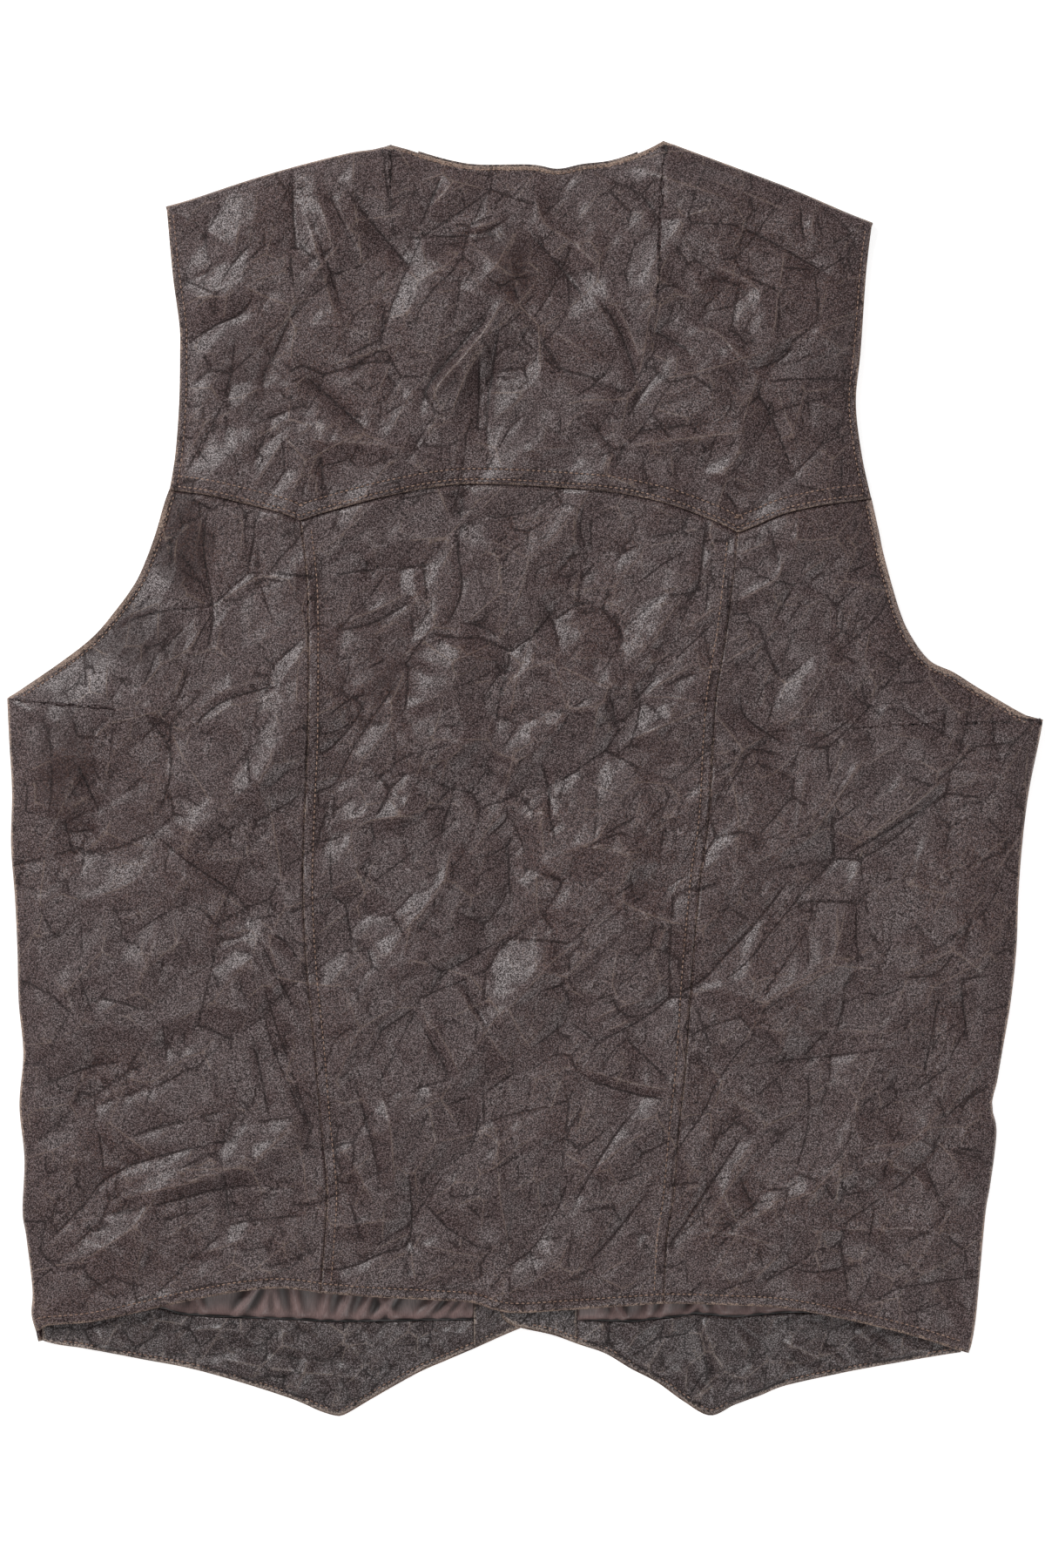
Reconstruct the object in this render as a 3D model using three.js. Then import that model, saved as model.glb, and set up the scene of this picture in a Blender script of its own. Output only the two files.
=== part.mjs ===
// A leather vest that lies on a table, back up and fronts underneath.
// Millimetres. +X is to the right as the back is seen from above, +Y runs from hem to neck,
// +Z is up from the table. The origin is on the table, under the middle of the vest.
import * as THREE from "three";

// Driving sizes.
const BACK_WALL = 1.6; // shell leather with its backing
const FRONT_WALL = 1.4;
const FACING_WALL = 1.2;
const LINING_WALL = 1.0;
const LAYER_GAP = 0.3; // between pieces that lie on each other
const SEAM_GAP = 0.3; // between pieces that are sewn edge to edge
const FOLD_RADIUS = 3.4; // of the leather where back turns into front
const PLATEAU = 13.4; // height of the back's outer face over most of the vest
const HEM_HEIGHT = 12.4; // the same at the middle of the back hem
const NECK_HEIGHT = 5.2;
const ARMHOLE_HEIGHT = 4.6;
const FOLD_HEIGHT = 2 * FOLD_RADIUS; // the same at the side and shoulder folds
const SIDE_RISE = 20; // distance over which the back rises from an edge to the plateau
const ARMHOLE_RISE = 15;
const SHOULDER_RISE = 14;
const NECK_RISE = 16;
const HEM_RISE = 24;
const EDGE_STRIP = 3; // least width of the strip that follows an edge
const FOLD_TURN = THREE.MathUtils.degToRad(100); // how far the back turns down at a side
const SHOULDER_TURN = THREE.MathUtils.degToRad(115);
const START_TURN = THREE.MathUtils.degToRad(12); // slope where a fold starts
const FOLD_STEPS = 3;
const YOKE_STEP = 0.7; // the yoke is lapped over the panels below it
const PLACKET_RISE = 2.0; // the snap caps hold the lapped edges off the table
const LAP_RISE = PLACKET_RISE + FRONT_WALL + FACING_WALL + 2 * LAYER_GAP;
const SNAP_RADIUS = 7.5;
const SNAP_BEVEL = 1;
const SNAP_HEIGHT = PLACKET_RISE - LAYER_GAP;
const SNAP_FIRST_Y = -262;
const SNAP_PITCH = 66;
const SNAP_COUNT = 5;
const LAP_X = -1.2; // middle of the lapped fronts
const TUCK_LIMIT = 1.9;
const INSIDE_TOP_Y = -225; // facings and lining are made up to here, inside the hem
const NECK_FACING_DEPTH = 24;
const NECK_FACING_SHOWS = 1.2;
const NECK_FACING_GAP = 1.1; // it hangs a little clear of the yoke that it is sewn to

const table = (columns, rows) =>
  rows.map((row) => Object.fromEntries(columns.map((name, i) => [name, row[i]])));
const curve = (rows) =>
  new THREE.SplineCurve(
    table(["x", "y"], rows).map(({ x, y }) => new THREE.Vector2(x, y)),
  );

// The vest's outline from above, each stretch from left to right or from hem to shoulder.
const LEFT_SIDE = curve([
  [-256.5, -288],
  [-257.5, -267],
  [-262.5, -232],
  [-262, -200],
  [-265, -171],
  [-262.8, -144],
  [-265, -95],
  [-269, -30],
  [-269.8, 15],
  [-271.1, 41],
]);
const RIGHT_SIDE = curve([
  [232.5, -300],
  [237.5, -267],
  [241, -235],
  [245, -198],
  [245.2, -171],
  [251, -138],
  [256.8, -100],
  [258.2, -55],
  [263.8, -8],
  [271.1, 30.5],
]);
const LEFT_ARMHOLE_LOW = curve([
  [-271.1, 41],
  [-243, 60.5],
  [-225, 75],
  [-204, 101.7],
  [-193, 129],
  [-186, 151.5],
]);
const LEFT_ARMHOLE_HIGH = curve([
  [-186, 151.5],
  [-182, 183],
  [-180.6, 218],
  [-182.5, 252],
  [-188, 299],
]);
const RIGHT_ARMHOLE_LOW = curve([
  [271.1, 30.5],
  [237.5, 47],
  [217, 55.5],
  [202, 74.4],
  [189, 113],
  [181, 147],
]);
const RIGHT_ARMHOLE_HIGH = curve([
  [181, 147],
  [173.3, 186],
  [174.5, 216],
  [178, 252],
  [182, 290.5],
]);
const LEFT_SHOULDER = curve([
  [-188, 299],
  [-148, 311.8],
  [-106, 323],
  [-70, 331],
]);
const NECK = curve([
  [-70, 331],
  [-50, 326],
  [-24, 321],
  [0, 321.2],
  [17, 319],
  [44, 323],
  [72, 333.6],
]);
const RIGHT_SHOULDER = curve([
  [72, 333.6],
  [112, 318.7],
  [148, 304.3],
  [182, 290.5],
]);
const BACK_HEM_LEFT = curve([
  [-106.8, -266.3],
  [-125, -265.6],
  [-160, -268.5],
  [-200, -276],
  [-232, -284.5],
  [-256.5, -288],
]);
const BACK_HEM_MIDDLE = curve([
  [-106.8, -266.3],
  [-70, -270.5],
  [-28, -274],
  [0, -278],
  [35, -278],
  [72, -274.6],
]);
const BACK_HEM_RIGHT = curve([
  [72, -274.6],
  [105, -274.4],
  [140, -277],
  [180, -286],
  [210, -294],
  [232.5, -300],
]);

// Seams of the back: the yoke's edge dips to a point where each upright seam starts.
const YOKE_EDGE_LEFT = curve([
  [-186, 151.5],
  [-160, 147.5],
  [-138, 141.5],
  [-117.5, 135.5],
]);
const YOKE_EDGE_MIDDLE = curve([
  [-117.5, 135.5],
  [-80, 147.5],
  [-30, 154.8],
  [20, 152],
  [65, 146],
  [111, 129.5],
]);
const YOKE_EDGE_RIGHT = curve([
  [111, 129.5],
  [135, 139],
  [158, 144],
  [181, 147],
]);
const LEFT_SEAM = curve([
  [-106.8, -266.3],
  [-103.5, -212],
  [-110.5, -140],
  [-115.8, -55],
  [-112.8, 25],
  [-113, 90],
  [-117.5, 135.5],
]);
const RIGHT_SEAM = curve([
  [72, -274.6],
  [77.5, -200],
  [83, -130],
  [91, -60],
  [98, 0],
  [103.5, 65],
  [111, 129.5],
]);

// The fronts, which are hidden but for their pointed hems.
const LEFT_FRONT_HEM = curve([
  [-256.5, -288],
  [-249, -296.5],
  [-217, -302],
  [-163, -312.8],
  [-122, -325.2],
  [-99, -333.6],
  [-67, -317.3],
  [-26.4, -298.2],
  [11, -282],
]);
const RIGHT_FRONT_HEM = curve([
  [232.5, -300],
  [219, -302.6],
  [165, -312.3],
  [124, -322.8],
  [97, -333.6],
  [69, -316.5],
  [42, -301.4],
  [14.6, -291],
  [-4, -286.5],
  [-13.5, -279],
]);
const LEFT_FRONT_EDGE = curve([
  [11, -282],
  [11, -190],
  [11, -90],
  [11, 20],
]);
const RIGHT_FRONT_EDGE = curve([
  [-13.5, -279],
  [-13.5, -190],
  [-13.5, -90],
  [-13.5, 20],
]);
const LEFT_V_NECK = curve([
  [11, 20],
  [-18, 90],
  [-44, 180],
  [-62, 262],
  [-70, 331],
]);
const RIGHT_V_NECK = curve([
  [-13.5, 20],
  [17, 90],
  [44, 180],
  [63, 262],
  [72, 333.6],
]);
const LEFT_FRONT_ARMHOLE = curve([
  [-271.1, 41],
  [-238, 57],
  [-205, 86],
  [-187, 125],
  [-175, 170],
  [-172, 225],
  [-188, 299],
]);
const RIGHT_FRONT_ARMHOLE = curve([
  [271.1, 30.5],
  [236, 42],
  [206, 60],
  [184, 100],
  [169, 150],
  [165, 215],
  [182, 290.5],
]);
const LEFT_FACING_TOP = curve([
  [-249, -268],
  [-215, -277],
  [-188, -281.5],
  [-150, -283.5],
  [-80, -284.3],
  [-27, -283],
]);
const RIGHT_FACING_TOP = curve([
  [27, -284],
  [62, -283.5],
  [88, -280],
  [125, -280.5],
  [160, -277],
  [224, -268],
]);

// The largest folds of the back. A positive height is a ridge, a negative one a trough.
// Each runs from (x1, y1) to (x2, y2), bowed sideways by bow, and is about width across.
const FOLD_COLUMNS = ["x1", "y1", "x2", "y2", "bow", "width", "height"];
const BACK_FOLDS = table(FOLD_COLUMNS, [
  [-176, 226, -122, 300, 6, 9, -1.3],
  [-122, 298, -94, 228, 3, 9, 1.8],
  [-118, 211, -83, 182, -2, 8, -1.4],
  [-108, 198, -160, 164, -5, 9, 1.6],
  [-112, 177, -62, 170, 4, 9, -1.3],
  [-98, 304, -60, 268, -3, 12, -1.4],
  [-10, 262, -54, 190, -5, 10, 2.0],
  [-4, 250, -19, 168, 3, 9, -1.4],
  [-152, 240, -158, 178, 2, 11, -1.3],
  [4, 305, 44, 256, -6, 10, 1.9],
  [62, 318, 80, 270, 5, 10, -1.3],
  [72, 312, 132, 294, -3, 11, 2.0],
  [104, 288, 163, 258, 4, 9, -1.5],
  [33, 256, 59, 202, -4, 9, -1.5],
  [80, 278, 117, 247, -3, 10, 1.7],
  [2, 240, 29, 206, 4, 10, -1.3],
  [118, 212, 142, 228, -3, 9, -1.4],
  [121, 206, 140, 160, -3, 9, -1.5],
  [50, 172, 116, 180, 4, 12, 2.2],
  [-180, 19, -120, 50, 5, 10, -1.4],
  [-210, 42, -184, 18, -2, 10, 1.7],
  [-232, 9, -219, -20, 2, 9, -1.4],
  [-200, -24, -144, -78, -5, 10, -1.4],
  [-166, 106, -171, 62, 3, 12, -1.4],
  [-113, 13, -86, 36, -3, 9, -1.4],
  [-98, 80, -60, 95, 4, 9, 1.6],
  [-34, 140, -44, 78, -8, 10, -1.4],
  [-12, 8, -22, -34, 6, 9, -1.3],
  [-100, -28, -58, -22, 4, 10, 1.6],
  [32, 139, 16, 96, 3, 9, -1.3],
  [92, 128, 86, 88, -4, 9, -1.3],
  [62, 48, 97, 64, -2, 9, 1.7],
  [44, 14, 96, 38, -3, 9, 1.7],
  [10, 20, 16, -36, -3, 9, -1.3],
  [107, 90, 141, 107, -3, 9, 1.7],
  [104, 61, 136, 81, -3, 9, 1.6],
  [126, 56, 142, 14, 6, 9, -1.3],
  [150, 92, 160, 62, 4, 10, -1.3],
  [202, 21, 148, -28, -5, 10, 1.8],
  [232, -4, 158, -60, 6, 11, -1.4],
  [248, 34, 248, 2, 2, 8, -1.2],
  [-262, -163, -184, -155, 6, 11, -1.3],
  [-256, -250, -180, -200, 9, 11, -1.5],
  [-232, -228, -106, -212, 5, 11, 2.0],
  [-240, -256, -118, -234, 8, 11, 1.8],
  [-137, -84, -112, -132, -4, 9, -1.4],
  [-136, -114, -108, -192, -5, 9, -1.5],
  [-164, -138, -160, -174, 3, 9, -1.2],
  [-188, -118, -185, -156, 3, 9, -1.2],
  [-100, -144, -72, -224, -6, 10, 1.9],
  [-62, -204, -60, -240, 3, 9, -1.4],
  [-54, -238, -116, -258, 6, 9, -1.5],
  [-52, -121, -26, -172, -3, 10, 1.8],
  [-18, -88, -49, -118, -4, 9, -1.3],
  [-55, -219, -22, -249, -3, 10, -1.3],
  [112, -185, 78, -239, -2, 9, -1.8],
  [100, -95, 42, -131, 4, 10, -1.6],
  [30, -151, 86, -162, 3, 10, -1.4],
  [63, -170, 22, -218, 4, 10, -1.3],
  [160, -58, 114, -106, -4, 10, 1.8],
  [128, -232, 212, -235, 3, 10, 1.8],
  [108, -266, 136, -244, 2, 9, -1.3],
  [203, -194, 216, -226, -2, 9, -1.3],
  [228, -104, 237, -160, -3, 10, -1.4],
]);
const INSIDE_FOLDS = table(FOLD_COLUMNS, [
  [-196, -291, -72, -315, 3, 6, 1.3],
  [-170, -288, -118, -296, 2, 6, 0.9],
  [90, -282, 96, -324, 2, 5, 1.6],
  [118, -288, 134, -301, -2, 4, 1.4],
  [160, -288, 169, -305, -1, 4, 1.4],
]);
// Tucks of the lining, which stand up from its hem and die out inwards.
const LINING_TUCKS = table(
  ["x", "width", "height", "lean"],
  [
    [-187, 7, 0.8, 4],
    [-168, 5, 1.2, -6],
    [-152, 5, 1.8, 9],
    [-139, 6, 1.0, 4],
    [-118, 5, 1.3, -3],
    [-98, 6, 1.5, 5],
    [-79, 5, 1.8, 10],
    [-58, 7, 1.1, 14],
    [-38, 6, 0.8, 8],
    [36, 7, 0.8, -4],
    [52, 5, 1.6, -7],
    [70, 6, 1.2, 6],
    [84, 5, 1.8, 12],
    [104, 8, 1.1, -8],
    [128, 8, 1.2, -10],
  ],
);

// Curves end to end as one, each ending at its own share of the whole.
const chain = (pieces) => (t) => {
  let start = 0;
  for (const [piece, end] of pieces) {
    if (t <= end || end === 1) return piece.getPointAt((t - start) / (end - start));
    start = end;
  }
};
const straight = (a, b) => (t) => a.clone().lerp(b, t);
const whole = (line) => (t) => line.getPointAt(t);
// The same line moved sideways by distance, to the left of the way it runs if positive.
const moved = (line, distance) => (t) => {
  const step = 1e-3;
  const from = line(Math.max(0, t - step));
  const way = line(Math.min(1, t + step)).sub(from).normalize();
  return line(t).add(new THREE.Vector2(-way.y, way.x).multiplyScalar(distance));
};

// The edge of the back all round, with the height of the back along it. near is 1 next to
// a fold, from which each free edge falls to its own height.
const between = (low, high, share) => low + (high - low) * share;
const near = (t, length) => 1 - THREE.MathUtils.smoothstep(t, 0, length);
const foldHeight = () => FOLD_HEIGHT;
const armholeLow = (t) => between(ARMHOLE_HEIGHT, FOLD_HEIGHT, near(t, 0.14));
const armholeHigh = (t) => between(ARMHOLE_HEIGHT, FOLD_HEIGHT, near(1 - t, 0.1));
const neckHeight = (t) => between(NECK_HEIGHT, FOLD_HEIGHT, near(t, 0.12) + near(1 - t, 0.12));
const hemHeight = (t) => between(HEM_HEIGHT, FOLD_HEIGHT, near(1 - t, 0.5));
const EDGES = [
  { line: LEFT_SIDE, height: foldHeight, rise: SIDE_RISE },
  { line: LEFT_ARMHOLE_LOW, height: armholeLow, rise: ARMHOLE_RISE },
  { line: LEFT_ARMHOLE_HIGH, height: armholeHigh, rise: ARMHOLE_RISE },
  { line: LEFT_SHOULDER, height: foldHeight, rise: SHOULDER_RISE },
  { line: NECK, height: neckHeight, rise: NECK_RISE },
  { line: RIGHT_SHOULDER, height: foldHeight, rise: SHOULDER_RISE },
  { line: RIGHT_ARMHOLE_HIGH, height: armholeHigh, rise: ARMHOLE_RISE },
  { line: RIGHT_ARMHOLE_LOW, height: armholeLow, rise: ARMHOLE_RISE },
  { line: RIGHT_SIDE, height: foldHeight, rise: SIDE_RISE },
  { line: BACK_HEM_LEFT, height: hemHeight, rise: HEM_RISE },
  { line: BACK_HEM_MIDDLE, height: () => HEM_HEIGHT, rise: HEM_RISE },
  { line: BACK_HEM_RIGHT, height: hemHeight, rise: HEM_RISE },
];
const EDGE_SAMPLES = 26;
const EDGE_POINTS = EDGES.map(({ line, height, rise }) =>
  Array.from({ length: EDGE_SAMPLES + 1 }, (_, i) => {
    const t = i / EDGE_SAMPLES;
    return { p: line.getPointAt(t), height: height(t), rise };
  }),
);

// The nearest point of the back's edge: how far it is, its height and its rise.
function nearestEdge(x, y) {
  let best = { distance: Infinity };
  for (const points of EDGE_POINTS)
    for (let i = 1; i < points.length; i++) {
      const a = points[i - 1];
      const b = points[i];
      const dx = b.p.x - a.p.x;
      const dy = b.p.y - a.p.y;
      const along = ((x - a.p.x) * dx + (y - a.p.y) * dy) / (dx * dx + dy * dy);
      const t = THREE.MathUtils.clamp(along, 0, 1);
      const distance = Math.hypot(x - a.p.x - t * dx, y - a.p.y - t * dy);
      if (distance < best.distance)
        best = { distance, height: a.height + t * (b.height - a.height), rise: a.rise };
    }
  return best;
}

// The height that a table of folds adds at a point: each is a soft bump across its line.
function foldRelief(folds, x, y) {
  let sum = 0;
  for (const { x1, y1, x2, y2, bow, width, height } of folds) {
    const length = Math.hypot(x2 - x1, y2 - y1);
    const along = ((x - x1) * (x2 - x1) + (y - y1) * (y2 - y1)) / (length * length);
    if (along < 0 || along > 1) continue;
    const offset = ((x - x1) * (y2 - y1) - (y - y1) * (x2 - x1)) / length;
    const across = offset - bow * 4 * along * (1 - along);
    sum += height * Math.sin(Math.PI * along) ** 0.7 * Math.exp(-((across / (0.6 * width)) ** 2));
  }
  return sum;
}

// The back's outer face over the point (x, y). step raises a piece that is sewn on top.
const RELIEF_INSET = 12; // distance from the edge over which folds come up to their height
function backHeight(x, y, step = 0) {
  const edge = nearestEdge(x, y);
  const inset = Math.max(0, edge.distance - FOLD_RADIUS);
  const body = PLATEAU + (edge.height - PLATEAU) * Math.exp(-inset / edge.rise);
  return body + (foldRelief(BACK_FOLDS, x, y) + step) * (1 - Math.exp(-inset / RELIEF_INSET));
}

// The outer faces of the fronts, which look down: flat on the table but for the lapped edges.
const lapShare = (y) => 1 - THREE.MathUtils.smoothstep(y, 45, 95);
const leftFrontHeight = (x, y) =>
  PLACKET_RISE * THREE.MathUtils.smoothstep(x, -40, -15) * lapShare(y);
const rightFrontHeight = (x, y) =>
  LAP_RISE * (1 - THREE.MathUtils.smoothstep(x, 16, 48)) * lapShare(y);

// How a piece turns over a fold along one of its sides, at the share t of that side: the way
// out from the piece, the turn, the start of the fold and the flat strip where there is no fold.
function foldAt({ line, turn, outward }, t) {
  const way = line(Math.min(1, t + 1e-3)).sub(line(Math.max(0, t - 1e-3))).normalize();
  const out = new THREE.Vector2(way.y, -way.x).multiplyScalar(outward);
  const full = turn(t);
  const start = Math.min(START_TURN, full);
  const strip = EDGE_STRIP * Math.max(0, 1 - full / FOLD_TURN);
  const reach = FOLD_RADIUS * (Math.sin(Math.min(full, Math.PI / 2)) - Math.sin(start));
  return { out, full, start, strip, inset: out.clone().multiplyScalar(-reach - strip) };
}

// A grid of points with normals over a piece whose four sides are left(v), right(v), bottom(u)
// and top(u). foldRight and foldTop turn the piece over a fold along that side.
// up is 1 where the outer face looks up and -1 where it looks down.
// A crowd above 1 sets the columns closer together towards the left.
function grid(piece) {
  const { left, right, bottom, top, columns, rows, height, up = 1, crowd = 1, foldRight, foldTop } = piece;
  const none = { inset: new THREE.Vector2(), full: 0, start: 0, strip: 0 };
  const rightFold = (v) => (foldRight ? foldAt({ line: right, ...foldRight }, v) : none);
  const topFold = (u) => (foldTop ? foldAt({ line: top, ...foldTop }, u) : none);
  const leftSide = (v) => left(v).addScaledVector(topFold(0).inset, v ** 3);
  const rightSide = (v) => right(v).add(rightFold(v).inset).addScaledVector(topFold(1).inset, v ** 3);
  const [sw, se, nw, ne] = [leftSide(0), rightSide(0), leftSide(1), rightSide(1)];
  const meeting = (line, start, end) => (u) =>
    line(u)
      .addScaledVector(start.clone().sub(line(0)), (1 - u) ** 3)
      .addScaledVector(end.clone().sub(line(1)), u ** 3);
  const bottomSide = meeting(bottom, sw, se);
  const topSide = meeting((u) => top(u).add(topFold(u).inset), nw, ne);
  const plan = (u, v) => {
    const across = leftSide(v).lerp(rightSide(v), u);
    const upward = bottomSide(u).lerp(topSide(u), v);
    const corners = sw.clone().lerp(se, u).lerp(nw.clone().lerp(ne, u), v);
    return across.add(upward).sub(corners);
  };
  const faceAt = (u, v, turns) => {
    const p = plan(u, v);
    const step = 0.5;
    const normal = new THREE.Vector3(
      (height(p.x - step, p.y) - height(p.x + step, p.y)) / (2 * step),
      (height(p.x, p.y - step) - height(p.x, p.y + step)) / (2 * step),
      1,
    ).normalize().multiplyScalar(up);
    const point = new THREE.Vector3(p.x, p.y, height(p.x, p.y));
    for (const [{ out, full, start, strip }, share] of turns) {
      const angle = start + share * (full - start);
      const reach = FOLD_RADIUS * (Math.sin(angle) - Math.sin(start)) + strip * share;
      const side = new THREE.Vector3(out.x, out.y, 0);
      point.addScaledVector(side, reach);
      point.z -= up * FOLD_RADIUS * (Math.cos(start) - Math.cos(angle));
      normal.multiplyScalar(Math.cos(angle)).addScaledVector(side, Math.sin(angle));
    }
    return { point, normal: normal.normalize() };
  };
  const points = [];
  for (let j = 0; j <= rows + (foldTop ? FOLD_STEPS : 0); j++) {
    points.push([]);
    for (let i = 0; i <= columns + (foldRight ? FOLD_STEPS : 0); i++) {
      const u = Math.min(1, i / columns) ** crowd;
      const v = Math.min(1, j / rows);
      const turns = [];
      if (i > columns) turns.push([rightFold(v), (i - columns) / FOLD_STEPS]);
      if (j > rows) turns.push([topFold(u), (j - rows) / FOLD_STEPS]);
      points[j].push(faceAt(u, v, turns));
    }
  }
  return points;
}

// A closed wall: the grid's points outside, the same points moved in by wall inside.
function wallGeometry(points, wall) {
  const rows = points.length;
  const columns = points[0].length;
  const flat = points.flat();
  const inner = flat.map(({ point, normal }) => point.clone().addScaledVector(normal, -wall));
  const position = [...flat.map(({ point }) => point), ...inner];
  const index = [];
  const id = (i, j, side) => side * rows * columns + j * columns + i;
  const quad = (a, b, c, d) => index.push(a, b, c, a, c, d);
  for (let j = 0; j + 1 < rows; j++)
    for (let i = 0; i + 1 < columns; i++) {
      quad(id(i, j, 0), id(i + 1, j, 0), id(i + 1, j + 1, 0), id(i, j + 1, 0));
      quad(id(i, j, 1), id(i, j + 1, 1), id(i + 1, j + 1, 1), id(i + 1, j, 1));
    }
  for (let i = 0; i + 1 < columns; i++) {
    quad(id(i + 1, 0, 0), id(i, 0, 0), id(i, 0, 1), id(i + 1, 0, 1));
    quad(id(i, rows - 1, 0), id(i + 1, rows - 1, 0), id(i + 1, rows - 1, 1), id(i, rows - 1, 1));
  }
  for (let j = 0; j + 1 < rows; j++) {
    quad(id(0, j, 0), id(0, j + 1, 0), id(0, j + 1, 1), id(0, j, 1));
    quad(id(columns - 1, j + 1, 0), id(columns - 1, j, 0), id(columns - 1, j, 1), id(columns - 1, j + 1, 1));
  }
  let volume = 0;
  for (let k = 0; k < index.length; k += 3) {
    const [a, b, c] = [0, 1, 2].map((n) => position[index[k + n]]);
    volume += a.dot(b.clone().cross(c));
  }
  if (volume < 0) index.reverse();
  const geometry = new THREE.BufferGeometry().setFromPoints(position);
  geometry.setIndex(index);
  geometry.computeVertexNormals();
  return geometry;
}

const LEATHER = { color: 0x43352f, roughness: 0.5, metalness: 0 };
const LINING = { color: 0x5d4a44, roughness: 0.45, metalness: 0 };
const METAL = { color: 0x4a3b2c, roughness: 0.4, metalness: 1 };
const vest = new THREE.Group();
function add(name, geometry, finish) {
  const mesh = new THREE.Mesh(geometry, new THREE.MeshStandardMaterial(finish));
  mesh.name = name;
  vest.add(mesh);
  return mesh;
}
const HALF_SEAM = SEAM_GAP / 2;

// Back: the yoke, from armhole to armhole, which turns over the shoulders.
const YOKE_COLUMNS = 32;
const at = (column) => column / YOKE_COLUMNS;
const overNeck = (u) =>
  THREE.MathUtils.smoothstep(u, at(9.4), at(10.6)) * (1 - THREE.MathUtils.smoothstep(u, at(21.4), at(22.6)));
function yoke() {
  const lift = new THREE.Vector2(0, HALF_SEAM);
  const edge = chain([
    [YOKE_EDGE_LEFT, at(6)],
    [YOKE_EDGE_MIDDLE, at(26)],
    [YOKE_EDGE_RIGHT, 1],
  ]);
  const armhole = (line) => (v) => line.getPointAt(v).addScaledVector(lift, 1 - v);
  const outline = chain([
    [LEFT_SHOULDER, at(10)],
    [NECK, at(22)],
    [RIGHT_SHOULDER, 1],
  ]);
  return grid({
    left: armhole(LEFT_ARMHOLE_HIGH),
    right: armhole(RIGHT_ARMHOLE_HIGH),
    bottom: (u) => edge(u).add(lift),
    top: (u) => outline(u).sub(new THREE.Vector2(0, NECK_FACING_SHOWS * overNeck(u))),
    columns: YOKE_COLUMNS,
    rows: 11,
    height: (x, y) => backHeight(x, y, YOKE_STEP),
    foldTop: { turn: (u) => SHOULDER_TURN * (1 - overNeck(u)), outward: -1 },
  });
}

// Back: the middle panel, between the two upright seams.
const BACK_ROWS = 28;
const BACK_ROWS_BELOW = 20; // the rows of a side panel that are below the underarm
function middleBack() {
  const left = moved(whole(LEFT_SEAM), -HALF_SEAM);
  const right = moved(whole(RIGHT_SEAM), HALF_SEAM);
  const drop = new THREE.Vector2(0, -HALF_SEAM);
  return grid({
    left: (v) => left(v).addScaledVector(drop, v),
    right: (v) => right(v).addScaledVector(drop, v),
    bottom: whole(BACK_HEM_MIDDLE),
    top: (u) => YOKE_EDGE_MIDDLE.getPointAt(u).add(drop),
    columns: 17,
    rows: BACK_ROWS,
    height: backHeight,
  });
}

// Back: a side panel, from its upright seam to the side fold and the low armhole.
function sideBack(isLeft) {
  const seam = whole(isLeft ? LEFT_SEAM : RIGHT_SEAM);
  const yokeEdge = isLeft ? YOKE_EDGE_LEFT : YOKE_EDGE_RIGHT;
  const underarm = BACK_ROWS_BELOW / BACK_ROWS;
  const outer = chain([
    [isLeft ? LEFT_SIDE : RIGHT_SIDE, underarm],
    [isLeft ? LEFT_ARMHOLE_LOW : RIGHT_ARMHOLE_LOW, 1],
  ]);
  const inner = moved(seam, isLeft ? HALF_SEAM : -HALF_SEAM);
  const drop = new THREE.Vector2(0, -HALF_SEAM);
  return grid({
    left: (v) => inner(v).addScaledVector(drop, v),
    right: (v) => outer(v).addScaledVector(drop, v),
    bottom: whole(isLeft ? BACK_HEM_LEFT : BACK_HEM_RIGHT),
    top: (u) => yokeEdge.getPointAt(isLeft ? 1 - u : u).add(drop),
    columns: 11,
    rows: BACK_ROWS,
    height: backHeight,
    foldRight: {
      turn: (v) => FOLD_TURN * (1 - THREE.MathUtils.smoothstep(v, underarm, underarm + 0.06)),
      outward: isLeft ? -1 : 1,
    },
  });
}

// A front: from the side fold to its lapped edge and V neck, with the shoulder on top.
const FRONT_ROWS = 21;
const FRONT_ROWS_BELOW = 11; // the rows that are below the underarm
function front(isLeft) {
  const underarm = FRONT_ROWS_BELOW / FRONT_ROWS;
  const gapTurn = SEAM_GAP / FOLD_RADIUS;
  const shoulder = isLeft ? LEFT_SHOULDER : RIGHT_SHOULDER;
  const hem = isLeft ? LEFT_FRONT_HEM : RIGHT_FRONT_HEM;
  const nearSide = (v) => 1 - THREE.MathUtils.smoothstep(v, underarm - 0.07, underarm);
  const nearShoulder = (u) =>
    THREE.MathUtils.smoothstep(u, 0.04, 0.16) * (1 - THREE.MathUtils.smoothstep(u, 0.88, 1));
  return grid({
    left: chain([
      [isLeft ? LEFT_FRONT_EDGE : RIGHT_FRONT_EDGE, underarm],
      [isLeft ? LEFT_V_NECK : RIGHT_V_NECK, 1],
    ]),
    right: chain([
      [isLeft ? LEFT_SIDE : RIGHT_SIDE, underarm],
      [isLeft ? LEFT_FRONT_ARMHOLE : RIGHT_FRONT_ARMHOLE, 1],
    ]),
    bottom: (u) => hem.getPointAt(1 - u),
    top: (u) => shoulder.getPointAt(isLeft ? 1 - u : u),
    columns: 12,
    crowd: 1.4,
    rows: FRONT_ROWS,
    height: isLeft ? leftFrontHeight : rightFrontHeight,
    up: -1,
    foldRight: {
      turn: (v) => (Math.PI - FOLD_TURN - gapTurn) * nearSide(v),
      outward: isLeft ? -1 : 1,
    },
    foldTop: {
      turn: (u) => (Math.PI - SHOULDER_TURN - gapTurn) * nearShoulder(u),
      outward: isLeft ? 1 : -1,
    },
  });
}

const LAP_BRIDGE = 7; // an inside piece starts its rise over the lap this much before the front
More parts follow.
